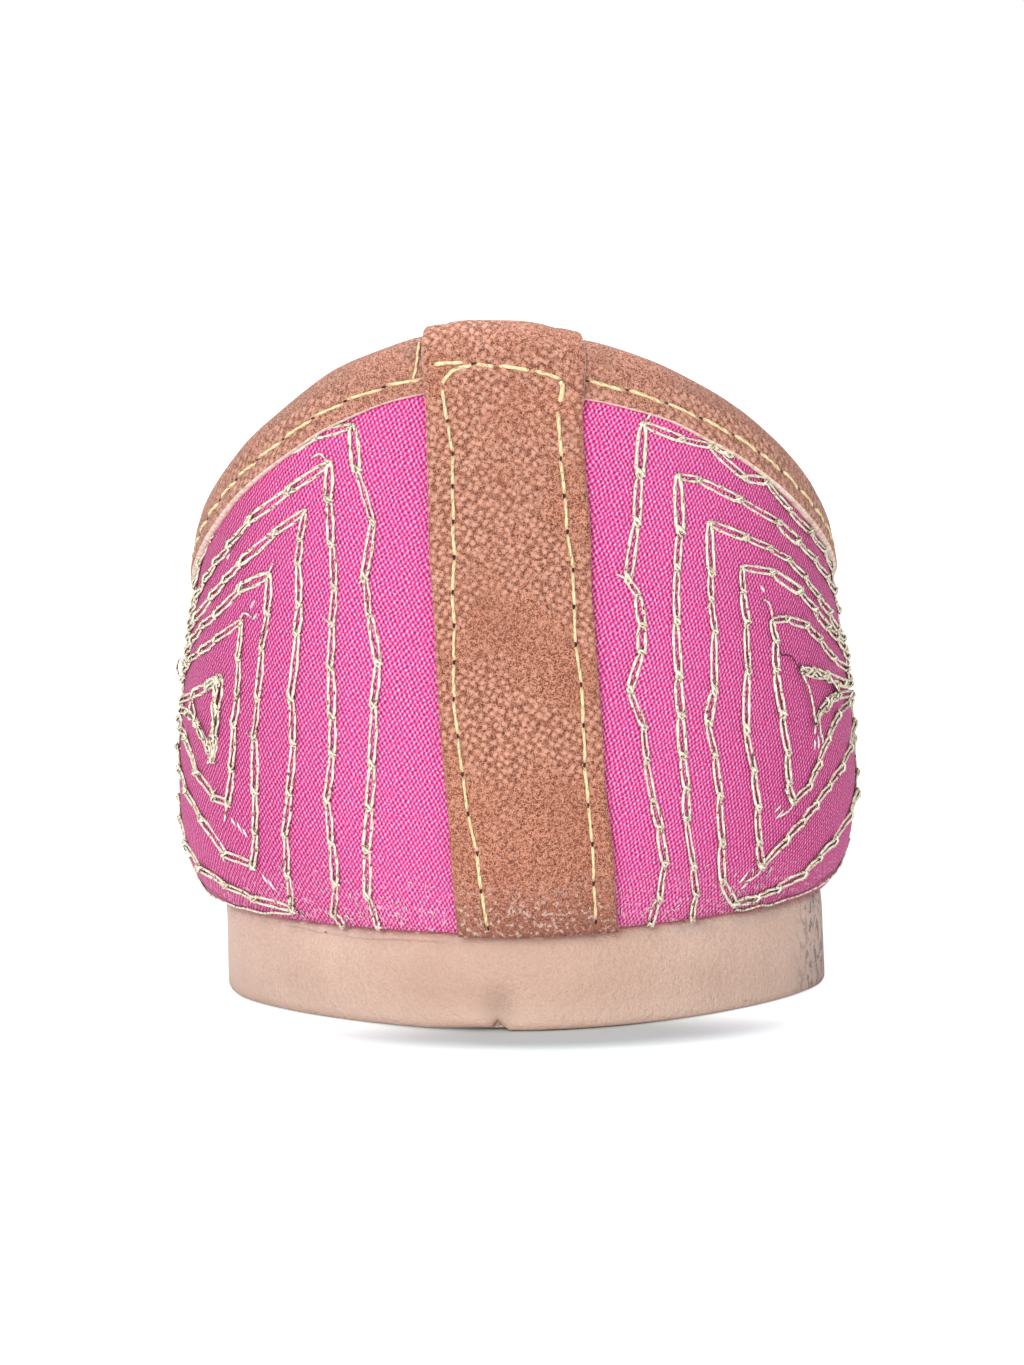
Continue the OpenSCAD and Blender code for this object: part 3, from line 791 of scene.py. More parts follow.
def strip_spot(x, run, away):
    """A place on the strip: x mm to the right, run mm along it from the sole, away mm off it."""
    side = 1 if x >= 0 else -1
    u, down = beside_back(x, back_high), run - back_high - rim_arc
    if run <= back_high:
        u = beside_back(x, height_of_wall(beside_back(x, run), side) * run / back_high)
        high = height_of_wall(u, side)
        down = high * (1 - run / back_high)
        p, n = face(u, high - down, over_binding(down) + away, side)
    elif down <= 0:
        p, n = round_rim(u, 180 * (run - back_high) / rim_arc, rim_radius + away, side)
    else:
        p, n = face(u, height_of_wall(u, side) - down, lining_in - over_binding(down) - away, side)
        n = -n
    return leaning(p), n


# How far in from the edge each row of stitches is, at these distances up the strip
stitch_in = {-1: ([0, 2, 8, 17, 21, 27, 33, 38, 45, 48, 51],
                  [2.9, 2.8, 2.5, 1.6, 1.5, 1.8, 2.1, 2.3, 2.3, 1.9, 1.7]),
             1: ([0, 2, 8, 20, 34, 39, 43, 46, 49], [2.3, 2.2, 2.0, 1.7, 1.9, 2.1, 2.3, 2.7, 2.5])}


def stitch_x(side, run):
    return strip_middle(run) + side * (half - float(np.interp(run, *stitch_in[side])))


outline = [(-half + 0.28, 1.0)]
outline += [(-half + 0.6 + (strip_width - 1.2) * i / 22, 1.0) for i in range(23)]
outline += [(half - 0.28, 1.0), (half - 0.06, 0.82), (half, 0.55), (half, 0.0)]
outline += [(half * 0.5, 0.0), (0, 0.0), (-half * 0.5, 0.0), (-half, 0.0), (-half, 0.55),
            (-half + 0.06, 0.82)]


def strip_place(a, b):
    dx, thick = outline[round(a * len(outline)) % len(outline)]
    run = strip_run * b
    across = dx / half
    at_rim = ease((run - back_high + 3) / 4) * ease((strip_run - 8 - run) / 4)
    narrower = 0.04 * bell(run, 49, 4) if dx > 0 else 0
    x = strip_middle(run) + dx * (1 + 0.03 * at_rim - narrower)
    if abs(dx) > half - 0.8:
        x += 0.16 * waver(run + 400 * (dx > 0), 6)
    thinner = at_rim * (0.2 + 0.08 * across ** 2 + 0.14 * max(0, across))
    away = glue_t + thick * (strip_t - thinner)
    if thick == 1.0:
        for side in (-1, 1):
            away -= stitch_groove * bell(x, stitch_x(side, run), 0.55)
        away += crown * (1 - across ** 2)
    p, _ = strip_spot(x, run, away)
    return p, (x, run)


def strip_cut_edge(a):
    corner = a * len(outline)
    return 25 < corner < 26 or len(outline) - 2 < corner < len(outline) - 1


strip = lay_band("heel_strip_leather", len(outline), 150, strip_place, strip_leather, cut_edge,
                 is_edge=strip_cut_edge, capped=True)
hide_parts("heel_strip")

# %% [markdown]
# The sole is one moulding. Its wall follows the feather line, its lower edge is rounded, and a
# lip of glue and rubber was pressed up where it meets the cloth. A soft dent and a notch in the
# lower edge mark the middle of the heel.

# %% Sole
sole_inset, edge_round, bevel_from = 0.6, 1.2, 0.93
dent_x, notch_x = -2.4, -2.5
levels = [0, 0.02, 0.05, 0.09, 0.13, 0.2, 0.3, 0.4, 0.5, 0.6, 0.7, 0.78, 0.83, 0.855, 0.87, 0.879,
          0.888, 0.91, 0.935, 0.965, 1.0]


def sole_wall(u, side, level):
    """Level 0 is the edge of the underside, 1 the joint with the upper."""
    p, n = feather(u), outward(u)
    low = ground_z(p.y)
    z = low + (seat_z(p.y) - low) * level
    x = p.x * side
    inset = sole_inset
    bevel = max(0, (level - bevel_from) / (1 - bevel_from))
    # The rounded lower edge, and the bevel under the cloth
    corner = edge_round - 0.5 * ease(x / 20)
    if z < low + corner:
        a = 1 - (z - low) / corner
        inset += corner * (1 - math.sqrt(max(0, 1 - a * a)))
    inset += 0.5 * bevel
    # The dent and the notch in the middle of the heel
    inset += 0.55 * bell(x, dent_x, 3.0) * bell(p.y, 0, 16) * bell(level, 0.28, 0.25)
    if level < 0.3 and p.y < 12:
        low_down = 1 - level / 0.3
        notch = bell(x, notch_x - 0.4 * low_down, 0.42)
        z += (0.8 * notch + 0.3 * ease((-2.3 - x) / 0.5) * ease((x + 11) / 7)) * low_down
        inset += 0.6 * notch * low_down
    # The lip pressed up along the joint, and the unevenness of its hand-trimmed edge
    along = mm_round(min(u, 1.5), 1) * side
    lip = ease((along + 33) / 4) * ease((-8 - along) / 5) * (0.8 + 0.3 * waver(along, 4))
    inset -= 0.40 * lip * ease((level - 0.87) / 0.018) * (1 - 0.6 * ease(bevel))
    inset += 0.16 * lip * bell(level, 0.857, 0.02)
    z += 0.32 * lip * waver(along + 300, 5) * bell(level, 0.88, 0.05)
    inset -= 0.10 * waver(u * 40 * side + 90, 3) * bell(level, 0.95, 0.08)
    # The heel flares on the right at its foot and is slimmer on the left
    heel_only = ease((60 - p.y) / 50)
    inset -= heel_only * (0.35 * ease(x / 20) * (1 - level) - 0.25 * ease(-x / 20))
    q = p - n * inset
    return Vector((q.x * side + 0.35 * heel_only, q.y - heel_station, z))


def sole_wall_place(a, b):
    p = sole_wall(*two_sides(8 * a - 4), levels[round(b * (len(levels) - 1))])
    return p, (p.x, p.y)


def sole_face_place(level):
    def place(a, b):
        p = sole_wall(4 * a, -1, level).lerp(sole_wall(4 * a, 1, level), b)
        return p, (p.x, p.y)
    return place


work = new_work()
grid_into(work, 512, len(levels) - 1, sole_wall_place)
for level in (0, 1.0):
    grid_into(work, 256, 14, sole_face_place(level))
weld(work, 0.002)
sole = finish_piece("moulded_sole", work, sole_rubber)
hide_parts("unit_sole")

# %% [markdown]
# The embroidery is chain stitch: each loop of gold twist comes up inside the one before it and
# is held down by the next. One loop is modelled, as a ring drawn out to a long leaf, with a
# short slanting wrap where the next one crosses it, because hundreds of copies can then be set
# end to end along the lines, each a little different in length, width and tilt.

# %% One chain stitch
stitch_long = 4.55
thread_r, snarl_r, tail_r, bit_r = 0.172, 0.13, 0.11, 0.09
slit_r, fleck_r, hair_r = 0.15, 0.06, 0.07


def cord_into(bm, rows, around, centre, radius, up=(0, 0, 1), long=1.0):
    """A cord of rows rings; centre(0..1) gives its middle line in mm."""
    def place(a, b):
        c, d = Vector(centre(b)), Vector(centre(b + 0.01)) - Vector(centre(b - 0.01))
        flat = d.normalized().cross(Vector(up)).normalized()
        top = flat.cross(d.normalized())
        spoke = flat * math.cos(TURN * a) + top * math.sin(TURN * a)
        return c + spoke * radius(b), (a, b * long)
    grid_into(bm, around, rows, place)


def power_wave(wave, power):
    """The wave with its crests flattened."""
    return math.copysign(abs(wave) ** power, wave)


def loop_middle(b):
    x = 2.35 - 2.6 * power_wave(math.cos(TURN * b), 0.72)
    wide = 0.36 * (0.5 + 0.5 * ease((x + 0.3) / 1.6))
    return x, wide * power_wave(math.sin(TURN * b), 0.6), 0.10 + 0.24 * ease((x - 3.2) / 1.4)


def wrap_middle(b):
    return 4.02 + 0.75 * b, -0.46 + 0.92 * b, 0.22 + 0.28 * math.sin(math.pi * b)


work = new_work()
cord_into(work, 12, 4, loop_middle, lambda b: thread_r, long=9)
cord_into(work, 3, 4, wrap_middle, lambda b: thread_r * (0.75 + 0.35 * math.sin(math.pi * b)))
weld(work, 1e-4)
one_loop = keep_mesh("one_loop", work)

# %% [markdown]
# A copy of the stitch is stretched from one needle point to the next and turned to stand on the
# cloth there. The needle points are counted out along each line, with a corner at every bend.
# Cords that aren't stitched are swept along a smooth curve through a few places.

# %% Setting stitches along a line
def set_between(bm, template, start, end, normal, long, wide=1.0, tilt=0.0, lift=1.0):
    """Copies a stitch made along +X and long mm, so that it runs from start to end."""
    first = len(bm.verts)
    bm.from_mesh(template)
    bm.verts.ensure_lookup_table()
    x = end - start
    z = (normal - x * (normal.dot(x) / x.dot(x))).normalized()
    y = z.cross(x.normalized())
    turn = Matrix.Rotation(tilt, 3, x.normalized())
    stretch = Matrix((x / long, turn @ y * wide, turn @ z * lift)).transposed().to_4x4()
    bmesh.ops.transform(bm, matrix=Matrix.Translation(start * MM) @ stretch,
                        verts=bm.verts[first:])


def walk(points, step):
    """Needle points along a bent line: its corners, and even steps between corners far apart."""
    points = [Vector(p) for p in points]
    out = [points[0]]
    for p, q in zip(points, points[1:]):
        count = max(1, round((q - p).length / step))
        out += [p.lerp(q, (i + 1) / count) for i in range(count)]
    return out


def wall_spot(side):
    return lambda p: face(station_at(p.x, side), p.y, 0.02, side)


def lay_cord(bm, at, radius, taper=False, step=0.5):
    """A round cord through places (point, normal), smoothed between them."""
    spots = [p for p, n in at]
    spots = [spots[0] * 2 - spots[1]] + spots + [spots[-1] * 2 - spots[-2]]
    up = sum((n for p, n in at), Vector())
    count = len(at) - 1
    long = sum((q - p).length for p, q in zip(spots[1:], spots[2:-1]))

    def centre(b):
        i = min(count - 1, max(0, math.floor(b * count)))
        w, (p, q, r, s) = b * count - i, spots[i:i + 4]
        return 0.5 * (2 * q + (r - p) * w + (2 * p - 5 * q + 4 * r - s) * w ** 2
                      + (3 * q - p - 3 * r + s) * w ** 3)

    def thick(b):
        return radius * (0.25 + 0.75 * math.sin(math.pi * b)) if taper else radius

    cord_into(bm, max(3, round(long / step)), 4, centre, thick, up, long)


def wander(by):
    return Vector((chance.uniform(-by, by), chance.uniform(-by, by)))


def set_loop(bm, start, end, narrowest):
    """One chain stitch between two places (point, normal), a little unlike the last."""
    (p, n), (q, m) = start, end
    set_between(bm, one_loop, p, q, (n + m).normalized(), stitch_long,
                chance.uniform(narrowest, 1.15), chance.uniform(-0.2, 0.2),
                chance.uniform(0.85, 1.1))


def raised(at, lifts):
    """The same places, each lifted off the surface by so many mm."""
    return [(p + n * lift, n) for (p, n), lift in zip(at, lifts)]


def chain_along(bm, points, spot, shake=0.12, tails=0.0):
    knots = walk(points, stitch_long)
    for i in range(1, len(knots) - 1):
        knots[i] = knots[i] + wander(shake)
    for a, b in zip(knots, knots[1:]):
        start, end = spot(a), spot(b)
        if (end[0] - start[0]).length < 0.5:
            continue
        set_loop(bm, start, end, 0.7)
        if chance.random() < tails:
            away = wander(1)
            bits = [spot(b), spot(b + away * 0.5), spot(b + away)]
            lay_cord(bm, raised(bits, (0.3, 0.45, 0.2)), bit_r, taper=True)
    return len(knots) - 1

# %% [markdown]
# On each quarter the stitcher sewed nested darts that point to the instep: an upright line near
# the heel, and two sides that close in along the shoe. Heights are in millimetres up the wall
# and distances in millimetres round it from the back. The two sides are by hand and differ.

# %% Lines of embroidery beside the heel
tip = (62, 20)
left_lines = [
    [(14, 47.5), (13.5, 43.5), (12, 38.5), (13, 33.5), (13, 30), (12.5, 25.5), (13.5, 21.5),
     (14.5, 16), (15.5, 12), (16.5, 8), (17.5, 3.5), (17, 0.3)],
    [(14.2, 47.4), (18, 46.5), (23, 44.5), (28.5, 42.5), (33.5, 39.5), (38, 36.6), (43, 33.6),
     (50, 29.6), (57, 25.4), (64, 20.8)],
    [(16.5, 44), (16.5, 40.5), (16.5, 36.5), (16.5, 32.5), (17, 29), (17.5, 25), (18, 20.5),
     (18.5, 17), (20, 12.5), (20.5, 8.5), (21, 4.5), (22.5, 1.2), (21.5, 0)],
    [(16.5, 44), (21.5, 41.5), (27.5, 38.5), (31.5, 36), (38, 32.5), (45, 29), (52, 26.5), tip],
    [(19.5, 39.5), (20, 37), (20.5, 34.5), (20.5, 31), (21, 28), (22.5, 22), (23, 18), (24.5, 13),
     (26, 9), (27, 5), (28, 1.2)],
    [(19.5, 39.5), (23.5, 37.5), (29, 34.5), (35.5, 31), (41, 28.5), (52, 25), tip],
    [(28, 1.2), (33.5, 2), (38, 3), (43.5, 4.5), (48, 6.5), (54, 10.5), tip],
    [(24.5, 33.5), (25, 30), (26, 26.5), (27, 22), (28, 18), (29, 13), (30, 9), (31.5, 5.5)],
    [(24.5, 33.5), (29, 32), (34, 29.5), (42, 26.5), (50, 23.6), (60, 19.6)],
    [(31.5, 5.5), (36, 6.5), (39.5, 9.5), (43.5, 12), (51, 15.5), (58, 18.6)],
    [(29, 29), (29.5, 25.5), (30, 22), (31, 19), (32, 15), (33.5, 11.5)],
    [(29, 29), (34, 27), (42, 24.5), (50, 22), (57, 19.8)],
    [(33.5, 11.5), (36, 12), (39.5, 14), (43, 17), (50, 18.2), (56, 19.4)],
    [(33, 23.5), (34, 20.5), (34.5, 18), (35.5, 15.5)],
    [(33, 23.5), (36, 22.5), (40, 21.5), (46, 20.4), (52, 19.6)],
    [(35.5, 15.5), (38.5, 18.5), (42, 19.5), (47, 19.4)],
]
right_lines = [
    [(12, 47), (11.5, 42.5), (11, 38), (10, 32.7), (11, 31.2), (11.5, 28.5), (11.5, 26),
     (10.5, 22.5), (12, 19), (12.5, 16), (13.5, 12), (14.5, 9.5), (15.5, 6), (15.5, 2.5),
     (15, 0)],
    [(12, 47), (16, 45.5), (19.5, 44.5), (24, 41.5), (27.5, 41), (31.5, 38), (36.5, 35.5),
     (42, 33.6), (47, 31.6), (54, 27), (64, 20.8)],
    [(12.5, 48.6), (17, 47.2), (22, 43.8)],
    [(15.5, 42), (15.5, 37), (15, 33.5), (15, 28.5), (15.5, 23.5), (16, 20), (16.5, 16), (17, 13),
     (17.5, 10), (19, 5.5), (20, 2.5), (20, 0)],
    [(15.5, 42), (18, 41.5), (23, 39.5), (29, 37), (36.5, 33), (45, 29.5), (54, 25), tip],
    [(19, 37.5), (19, 33), (19, 30.5), (19.5, 27.5), (19.5, 22), (19, 19), (20, 16), (21, 12),
     (22, 7.5), (23, 3.5), (25.5, 1)],
    [(19, 37.5), (23.5, 36), (30.5, 33.5), (36.5, 29.5), (42.5, 26), (52, 23.4), tip],
    [(25.5, 1), (28.5, 1.2), (31.5, 2), (35.5, 3), (37.5, 4.5), (40.5, 6), (45, 8), (52, 11.6),
     tip],
    [(23, 33.2), (23, 31), (23.5, 28), (23.5, 23.5), (23.5, 18), (25, 14), (26, 10.5), (27, 7),
     (28, 4.5)],
    [(23, 33.2), (27.5, 32.5), (32, 30.5), (38.5, 26.5), (45, 24), (52, 22), (60, 19.6)],
    [(28, 4.5), (31, 7), (33, 8.5), (35, 10), (37.5, 11.5), (44, 14.5), (54, 18.4)],
    [(27, 28), (27.5, 26), (27.5, 23.5), (28.5, 19), (29.5, 15.5), (30, 12.5), (31, 10.5)],
    [(27, 28), (29.5, 28), (33, 27), (36, 25.5), (39.5, 23.5), (46, 21.8), (54, 19.8)],
    [(31, 10.5), (33.5, 12), (35, 14), (37, 16), (39.5, 18), (44, 18.6), (50, 19.2)],
    [(31.5, 23), (33.5, 22.5), (37, 22), (43, 20.8), (50, 20.2)],
    [(34.5, 18), (36.5, 19.5), (40, 19.8), (45, 19.6)],
]
print("lines on the left", len(left_lines), "and on the right", len(right_lines))

# %% [markdown]
# Loose work shows where the darts turn: short tails and pale slits where the needle tore the
# cloth, a snarl of thread inside the smallest dart, and one thread run along the joint. All are
# swept cords, because each of them is only seen as a line.

# %% Loose threads
def on_wall(side, points, lifts):
    spot = wall_spot(side)
    return raised([spot(Vector(p)) for p in points], lifts)


def snarl(bm, side, points, times):
    """Threads that stray about a bent line."""
    for _ in range(times):
        path = [p + wander(0.5) for p in walk(points, 0.9)]
        lifts = [chance.uniform(0.12, 0.6) for _ in path]
        lay_cord(bm, on_wall(side, path, lifts), snarl_r, step=0.4)


SNARLS = [(-1, [(36, 22.4), (33, 23.2), (34, 20.5), (34.5, 18), (35.5, 15.6)], 4),
          (-1, [(35.5, 15.8), (37.5, 17.8), (40.5, 20.6)], 2),
          (1, [(31.4, 23.2), (33.8, 22.6), (36.4, 22.0), (40, 20.6)], 3),
          (1, [(34.2, 18), (36.6, 19.2), (40, 20.4)], 3),
          (1, [(31.6, 22.8), (32.6, 20.6), (34, 18)], 1)]
TAILS = {-1: [[(16.5, 44), (17.4, 44.8), (18.6, 44.4)], [(24.5, 33.4), (23.6, 34.6)],
              [(29, 29), (28.2, 29.8), (27.2, 29.4)], [(28, 1.6), (27.2, 2.8)],
              [(33.4, 11.6), (34.2, 9.8)]],
         1: [[(10, 32.7), (8.8, 33.2)], [(27, 28), (26.4, 29.6), (25.8, 30)],
             [(34, 18.2), (33.6, 16.8)], [(34.6, 18.4), (34.9, 16.4)], [(28, 4.6), (26.8, 5.4)],
             [(31, 10.6), (29.8, 11.4), (29.6, 12)], [(31, 10.6), (30.3, 9.9), (29.2, 9.3)],
             [(28, 4.6), (27.2, 3.8), (26.2, 3.2)], [(12.1, 47), (12.9, 48), (14.2, 48.2)]]}
CURL = [(44, 23.6), (45, 24.4), (46, 23.8), (45.6, 22.7), (44.4, 22.6)]
ALONG_JOINT = {1: [(25.6, 0.5), (27.4, 0.1), (29.4, 0.5), (31.4, 0.1), (34, 0.6), (37, 0.5),
                   (41, 1.4), (46, 2.6), (52, 5)],
               -1: [(27, 1.1), (29, 0.6), (31, 0.7), (33.4, 0.2), (36, 0.6), (39, 0.3),
                    (43, 1.2), (47, 2), (52, 4.6)]}
SLITS = {-1: [(27.6, 30.2, 26.8, 31), (27.2, 29.2, 26.5, 29.8), (32.2, 34.6, 31.6, 35.2),
              (33.6, 10.2, 32.9, 9.2), (32.7, 9.8, 32.1, 8.6), (32.0, 9.2, 31.4, 8.2),
              (30.8, 4.7, 30.2, 3.6), (30.2, 4.2, 29.4, 2.9)],
         1: [(26.2, 30.6, 25.6, 31.4), (34.9, 16.6, 35.1, 15.2), (34.3, 16.2, 34.3, 15.2),
             (29.9, 9.9, 28.9, 9.1), (29.4, 10.4, 28.6, 9.8), (26.4, 4.2, 25.4, 3.0),
             (26.8, 3.4, 26, 2.4), (35.6, 16.8, 36, 15.6)]}
STRAY = [(27.4, 25.8), (28.4, 24.7), (29.6, 24.5), (31.2, 23)]
fleck_count = 90

ends, slits, hair = new_work(), new_work(), new_work()
for side, points, times in SNARLS:
    snarl(ends, side, points, times)
for side, tails in TAILS.items():
    for tail in tails:
        lay_cord(ends, on_wall(side, tail, (0.3, 0.4, 0.15)), tail_r)
lay_cord(ends, on_wall(-1, CURL, (0.2, 0.7, 1.0, 0.8, 0.2)), 0.12, step=0.35)
for side, points in ALONG_JOINT.items():
    lifts = (0.3, 0.1, 0.35, 0.1, 0.3, 0.1, 0.3, 0.15, 0.1)
    lay_cord(ends, on_wall(side, points, lifts), snarl_r, step=0.6)
for side, marks in SLITS.items():
    for s, t, s2, t2 in marks:
        middle = ((s + s2) / 2, (t + t2) / 2)
        at = on_wall(side, [(s, t), middle, (s2, t2)], (0.0, 0.06, 0.0))
        lay_cord(slits, at, slit_r, taper=True)
for _ in range(fleck_count):
    side, s, t = chance.choice((-1, 1)), chance.uniform(8, 30), 0.5 + 5.5 * chance.random() ** 2
    turn, long = chance.uniform(0, TURN), chance.uniform(0.25, 0.9)
    dx, dy = math.cos(turn), math.sin(turn)
    bend = [(s, t), (s + 0.3 * dx, t + long / 2), (s + long * dx, t + long * dy)]
    at = on_wall(side, bend, (0.02, 0.1, 0.04))
    lay_cord(slits, at, fleck_r, taper=True, step=0.3)
lay_cord(hair, on_wall(1, STRAY, (0.2, 0.15, 0.35, 0.3)), hair_r)
finish_piece("loose_embroidery_threads", ends, gold_thread)
finish_piece("torn_cloth_slits", slits, bare_canvas)
finish_piece("stray_dark_thread", hair, hole_shade_and_dark_thread)

# %% [markdown]
# Where the sole was pressed on, drops of glue set along the joint. Each is a ball pressed flat.

# %% Beads of glue
beads = new_work()
for x, down, r in ((1.3, 0.5, 0.42), (8.6, 1.0, 0.2), (-10.4, 0.3, 0.3), (-21.5, 0.4, 0.34),
                   (15.8, 0.2, 0.22)):
    p = sole_wall(beside_back(x, 0.5), 1 if x > 0 else -1, 1 - down / heel_thickness)
    first = len(beads.verts)
    bmesh.ops.create_icosphere(beads, subdivisions=2, radius=r * MM)
    beads.verts.ensure_lookup_table()
    bmesh.ops.scale(beads, vec=(1.3, 0.6, 0.8), verts=beads.verts[first:])
    bmesh.ops.translate(beads, vec=p * MM, verts=beads.verts[first:])
for f in beads.faces:
    f.smooth = True
finish_piece("glue_beads", beads, sole_rubber)

# %% [markdown]
# Further forward the same hand would have sewn the same figures, so each quarter has a second
# set of darts that meets the first tip to tip, and the vamp has one diamond inside another over
# the toes. Their lines keep to a share of the height of the wall.

# %% Lines of embroidery over the side and the toes
def darts_forward():
    """Nested darts on the side of the shoe, mirrored from those beside the heel."""
    out = []
    for k in range(5):
        base, low, top = 103 - 5.2 * k, 1.0 + 4.0 * k, 25.5 - 2.3 * k
        near, bend = 64 + k, base * 0.55 + 28
        sway = 0.7 * (-1) ** k
        out.append([(base + sway, top), (base - 0.8, (low + top) / 2), (base - sway, low)])
        out.append([(base + sway, top), (bend, top * 0.55 + 9.2), (near, 20.2)])
        out.append([(base - sway, low), (bend, low * 0.55 + 8.4), (near, 19.6)])
    return out


def vamp_spot(p):
    """p is the share of the way from the seam (0) to the middle (1) and on to the other seam
    (2), and the share of the height of the wall."""
    side = 1 if p.x <= 1 else -1
    u = seam_at + (4 - seam_at) * (p.x if p.x <= 1 else 2 - p.x)
    return face(u, p.y * height_of_wall(u, side), 0.02, side)


def chain_over(bm, points, per_bend=40):
    """Lays the same stitch along lines given in shares: measures them on the shoe first."""
    fine = []
    for p, q in zip(points, points[1:]):
        fine += [Vector(p).lerp(Vector(q), i / per_bend) for i in range(per_bend)]
    fine.append(Vector(points[-1]))
    runs = run_lengths([vamp_spot(p)[0] for p in fine])
    count = max(1, round(runs[-1] / stitch_long))

    def needle(i):
        t = float(np.interp(runs[-1] * i / count, runs, range(len(fine))))
        j = min(int(t), len(fine) - 2)
        return vamp_spot(fine[j].lerp(fine[j + 1], t - j))

    for i in range(count):
        set_loop(bm, needle(i), needle(i + 1), 0.8)
    return count


vamp_lines = []
for k in range(6):
    w, t, b, middle = 0.14 + 0.115 * k, 0.58 + 0.062 * k, 0.50 - 0.072 * k, 0.54 - 0.02 * k
    vamp_lines.append([(1 - w, middle), (1, t), (1 + w, middle), (1, b), (1 - w, middle)])
for k in range(4):
    low, high, near, far = 0.06 + 0.085 * k, 0.84 - 0.07 * k, 0.03 + 0.03 * k, 0.36 - 0.055 * k
    line = [(near, high), (near + 0.01, low), (far, 0.42), (near, high)]
    vamp_lines += [line, [(2 - x, y) for x, y in line]]

for side, hand, lines in ((-1, "left", left_lines), (1, "right", right_lines)):
    work = new_work()
    total = sum(chain_along(work, line, wall_spot(side), tails=0.15) for line in lines)
    total += sum(chain_along(work, line, wall_spot(side), shake=0.22) for line in darts_forward())
    print(hand, "quarter has", total, "chain stitches")
    finish_piece(hand + "_quarter_embroidery", work, gold_thread)
work = new_work()
print("vamp has", sum(chain_over(work, line) for line in vamp_lines), "chain stitches")
finish_piece("vamp_embroidery", work, gold_thread)

# %% [markdown]
# The leather is sewn with waxed cream thread in running stitch. Each stitch stands up a little
# in the middle and goes down into a needle hole at both ends. A dark disc of painted shade lies
# in each hole, so the shade of the hole is what is seen between two stitches.

# %% One running stitch and the painted shade of its hole
run_long = 3.0


def run_middle(b):
    return run_long * b, 0, 0.30 * math.sin(math.pi * min(1, max(0, b))) ** 0.6 - 0.16


work = new_work()
cord_into(work, 5, 6, run_middle, lambda b: 0.165 + 0.03 * math.sin(9 * b), long=3.5)
bmesh.ops.holes_fill(work, edges=work.edges, sides=0)
weld(work, 1e-4)
one_run = keep_mesh("one_run", work)
# A small dark disc of painted shade, for the inside of a needle hole.
work = bmesh.new()
bmesh.ops.create_circle(work, cap_ends=True, segments=8, radius=0.23 * MM)
bmesh.ops.scale(work, vec=(1.35, 0.8, 1), verts=work.verts)
for v in work.verts:
    v.co *= chance.uniform(0.8, 1.2)
one_hole_shade = keep_mesh("one_hole_shade", work)


def sew(places, gap, slant=0.0, hole_shade_mm=1.0):
    """Stitches from hole to hole: gap mm of hole between them, slant mm of lean, and a disc of
    painted hole shade so many mm wide.
    """
    for (p, n), (q, m) in zip(places, places[1:]):
        along, n2 = (q - p).normalized(), (n + m).normalized()
        shift = n2.cross(along) * (slant + chance.uniform(-0.08, 0.08))
        step = along * (gap / 2) + shift
        set_between(threads, one_run, p + step, q - step, n2, run_long,
                    chance.uniform(0.85, 1.1), chance.uniform(-0.2, 0.2))
        # A dark disc of painted shade stands for the shade inside the needle hole.
        hole = p + n * 0.03
        set_between(hole_shade_discs, one_hole_shade, hole, hole + along * hole_shade_mm, n, 1.0,
                    hole_shade_mm * chance.uniform(0.8, 1.2))

# %% [markdown]
# Round the binding the stitches are even, just above its cut edge. The line is measured on the
# shoe first, so that a whole number of stitches fits between the strip and the toe.

# %% Stitches round the binding
def binding_hole(q):
    u, side = two_sides(q)
    p, n = face(u, height_of_wall(u, side) - binding_stitch, binding_lift(binding_stitch) + 0.02,
                side)
    return leaning(p), n


def even_holes(low, high, fineness=2000):
    fine = [low + (high - low) * i / fineness for i in range(fineness + 1)]
    runs = run_lengths([binding_hole(q)[0] for q in fine])
    count = round(runs[-1] / binding_pitch)
    at = [runs[-1] * i / count + chance.uniform(-0.12, 0.12) for i in range(count + 1)]
    return [binding_hole(float(np.interp(mm, runs, fine))) for mm in at]


binding_pitch = 3.9
strip_side = beside_back(half - 0.2, back_high - 4)
threads, hole_shade_discs = new_work(), new_work()
for low, high in ((strip_side, 4), (-4, -strip_side)):
    sew(even_holes(low, high), gap=0.4, slant=0.14, hole_shade_mm=0.6)
finish_piece("binding_stitches", threads, cream_thread)
finish_piece("binding_needle_hole_shade", hole_shade_discs, hole_shade_and_dark_thread)

# %% [markdown]
# Up the strip the two rows wander with the hand that sewed them, and a third row closes them
# at the top. The corners are single stout threads, and the stitches get shorter on the way up.

# %% Stitches of the heel strip
def strip_hole(x, run):
    across = (x - strip_middle(run)) / half
    return strip_spot(x, run, glue_t + strip_t - stitch_groove + crown * (1 - across ** 2) + 0.02)


def strip_line(side, low, high, pitch):
    """Holes up one side of the strip."""
    holes, run = [], low
    while run < high:
        holes.append(strip_hole(stitch_x(side, run) + chance.uniform(-0.14, 0.14), run))
        run += pitch(run) + chance.uniform(-0.15, 0.15)
    return holes


def strip_holes(*places):
    return [strip_hole(x, run) for x, run in places]


threads, hole_shade_discs = new_work(), new_work()
left = strip_line(-1, 0.9, 49.5, lambda run: 3.65 - 0.6 * ease(run / 45))
right = strip_line(1, 1.2, 47.5, lambda run: 3.7 - 0.3 * ease(run / 45))
for holes in (left + strip_holes((-6.1, 50.9)), right + strip_holes((4.3, 48.9))):
    sew(holes, gap=0.3, hole_shade_mm=0.75)
top_left = strip_holes((-6, 51.1), (-5, 52.1), (-3.4, 52.55))
lay_cord(threads, raised(top_left, (0.0, 0.22, 0.0)), 0.17)
sew(strip_holes((-3.1, 52.6), (-1.2, 52.55), (2, 52.25), (4.6, 51.75)), gap=0.25)
sew(strip_holes((-6.8, 52.95), (-4, 52.8)), gap=0.2, hole_shade_mm=0.5)
top_right = strip_holes((4.5, 51.5), (4.6, 50.8), (4.4, 49.7))
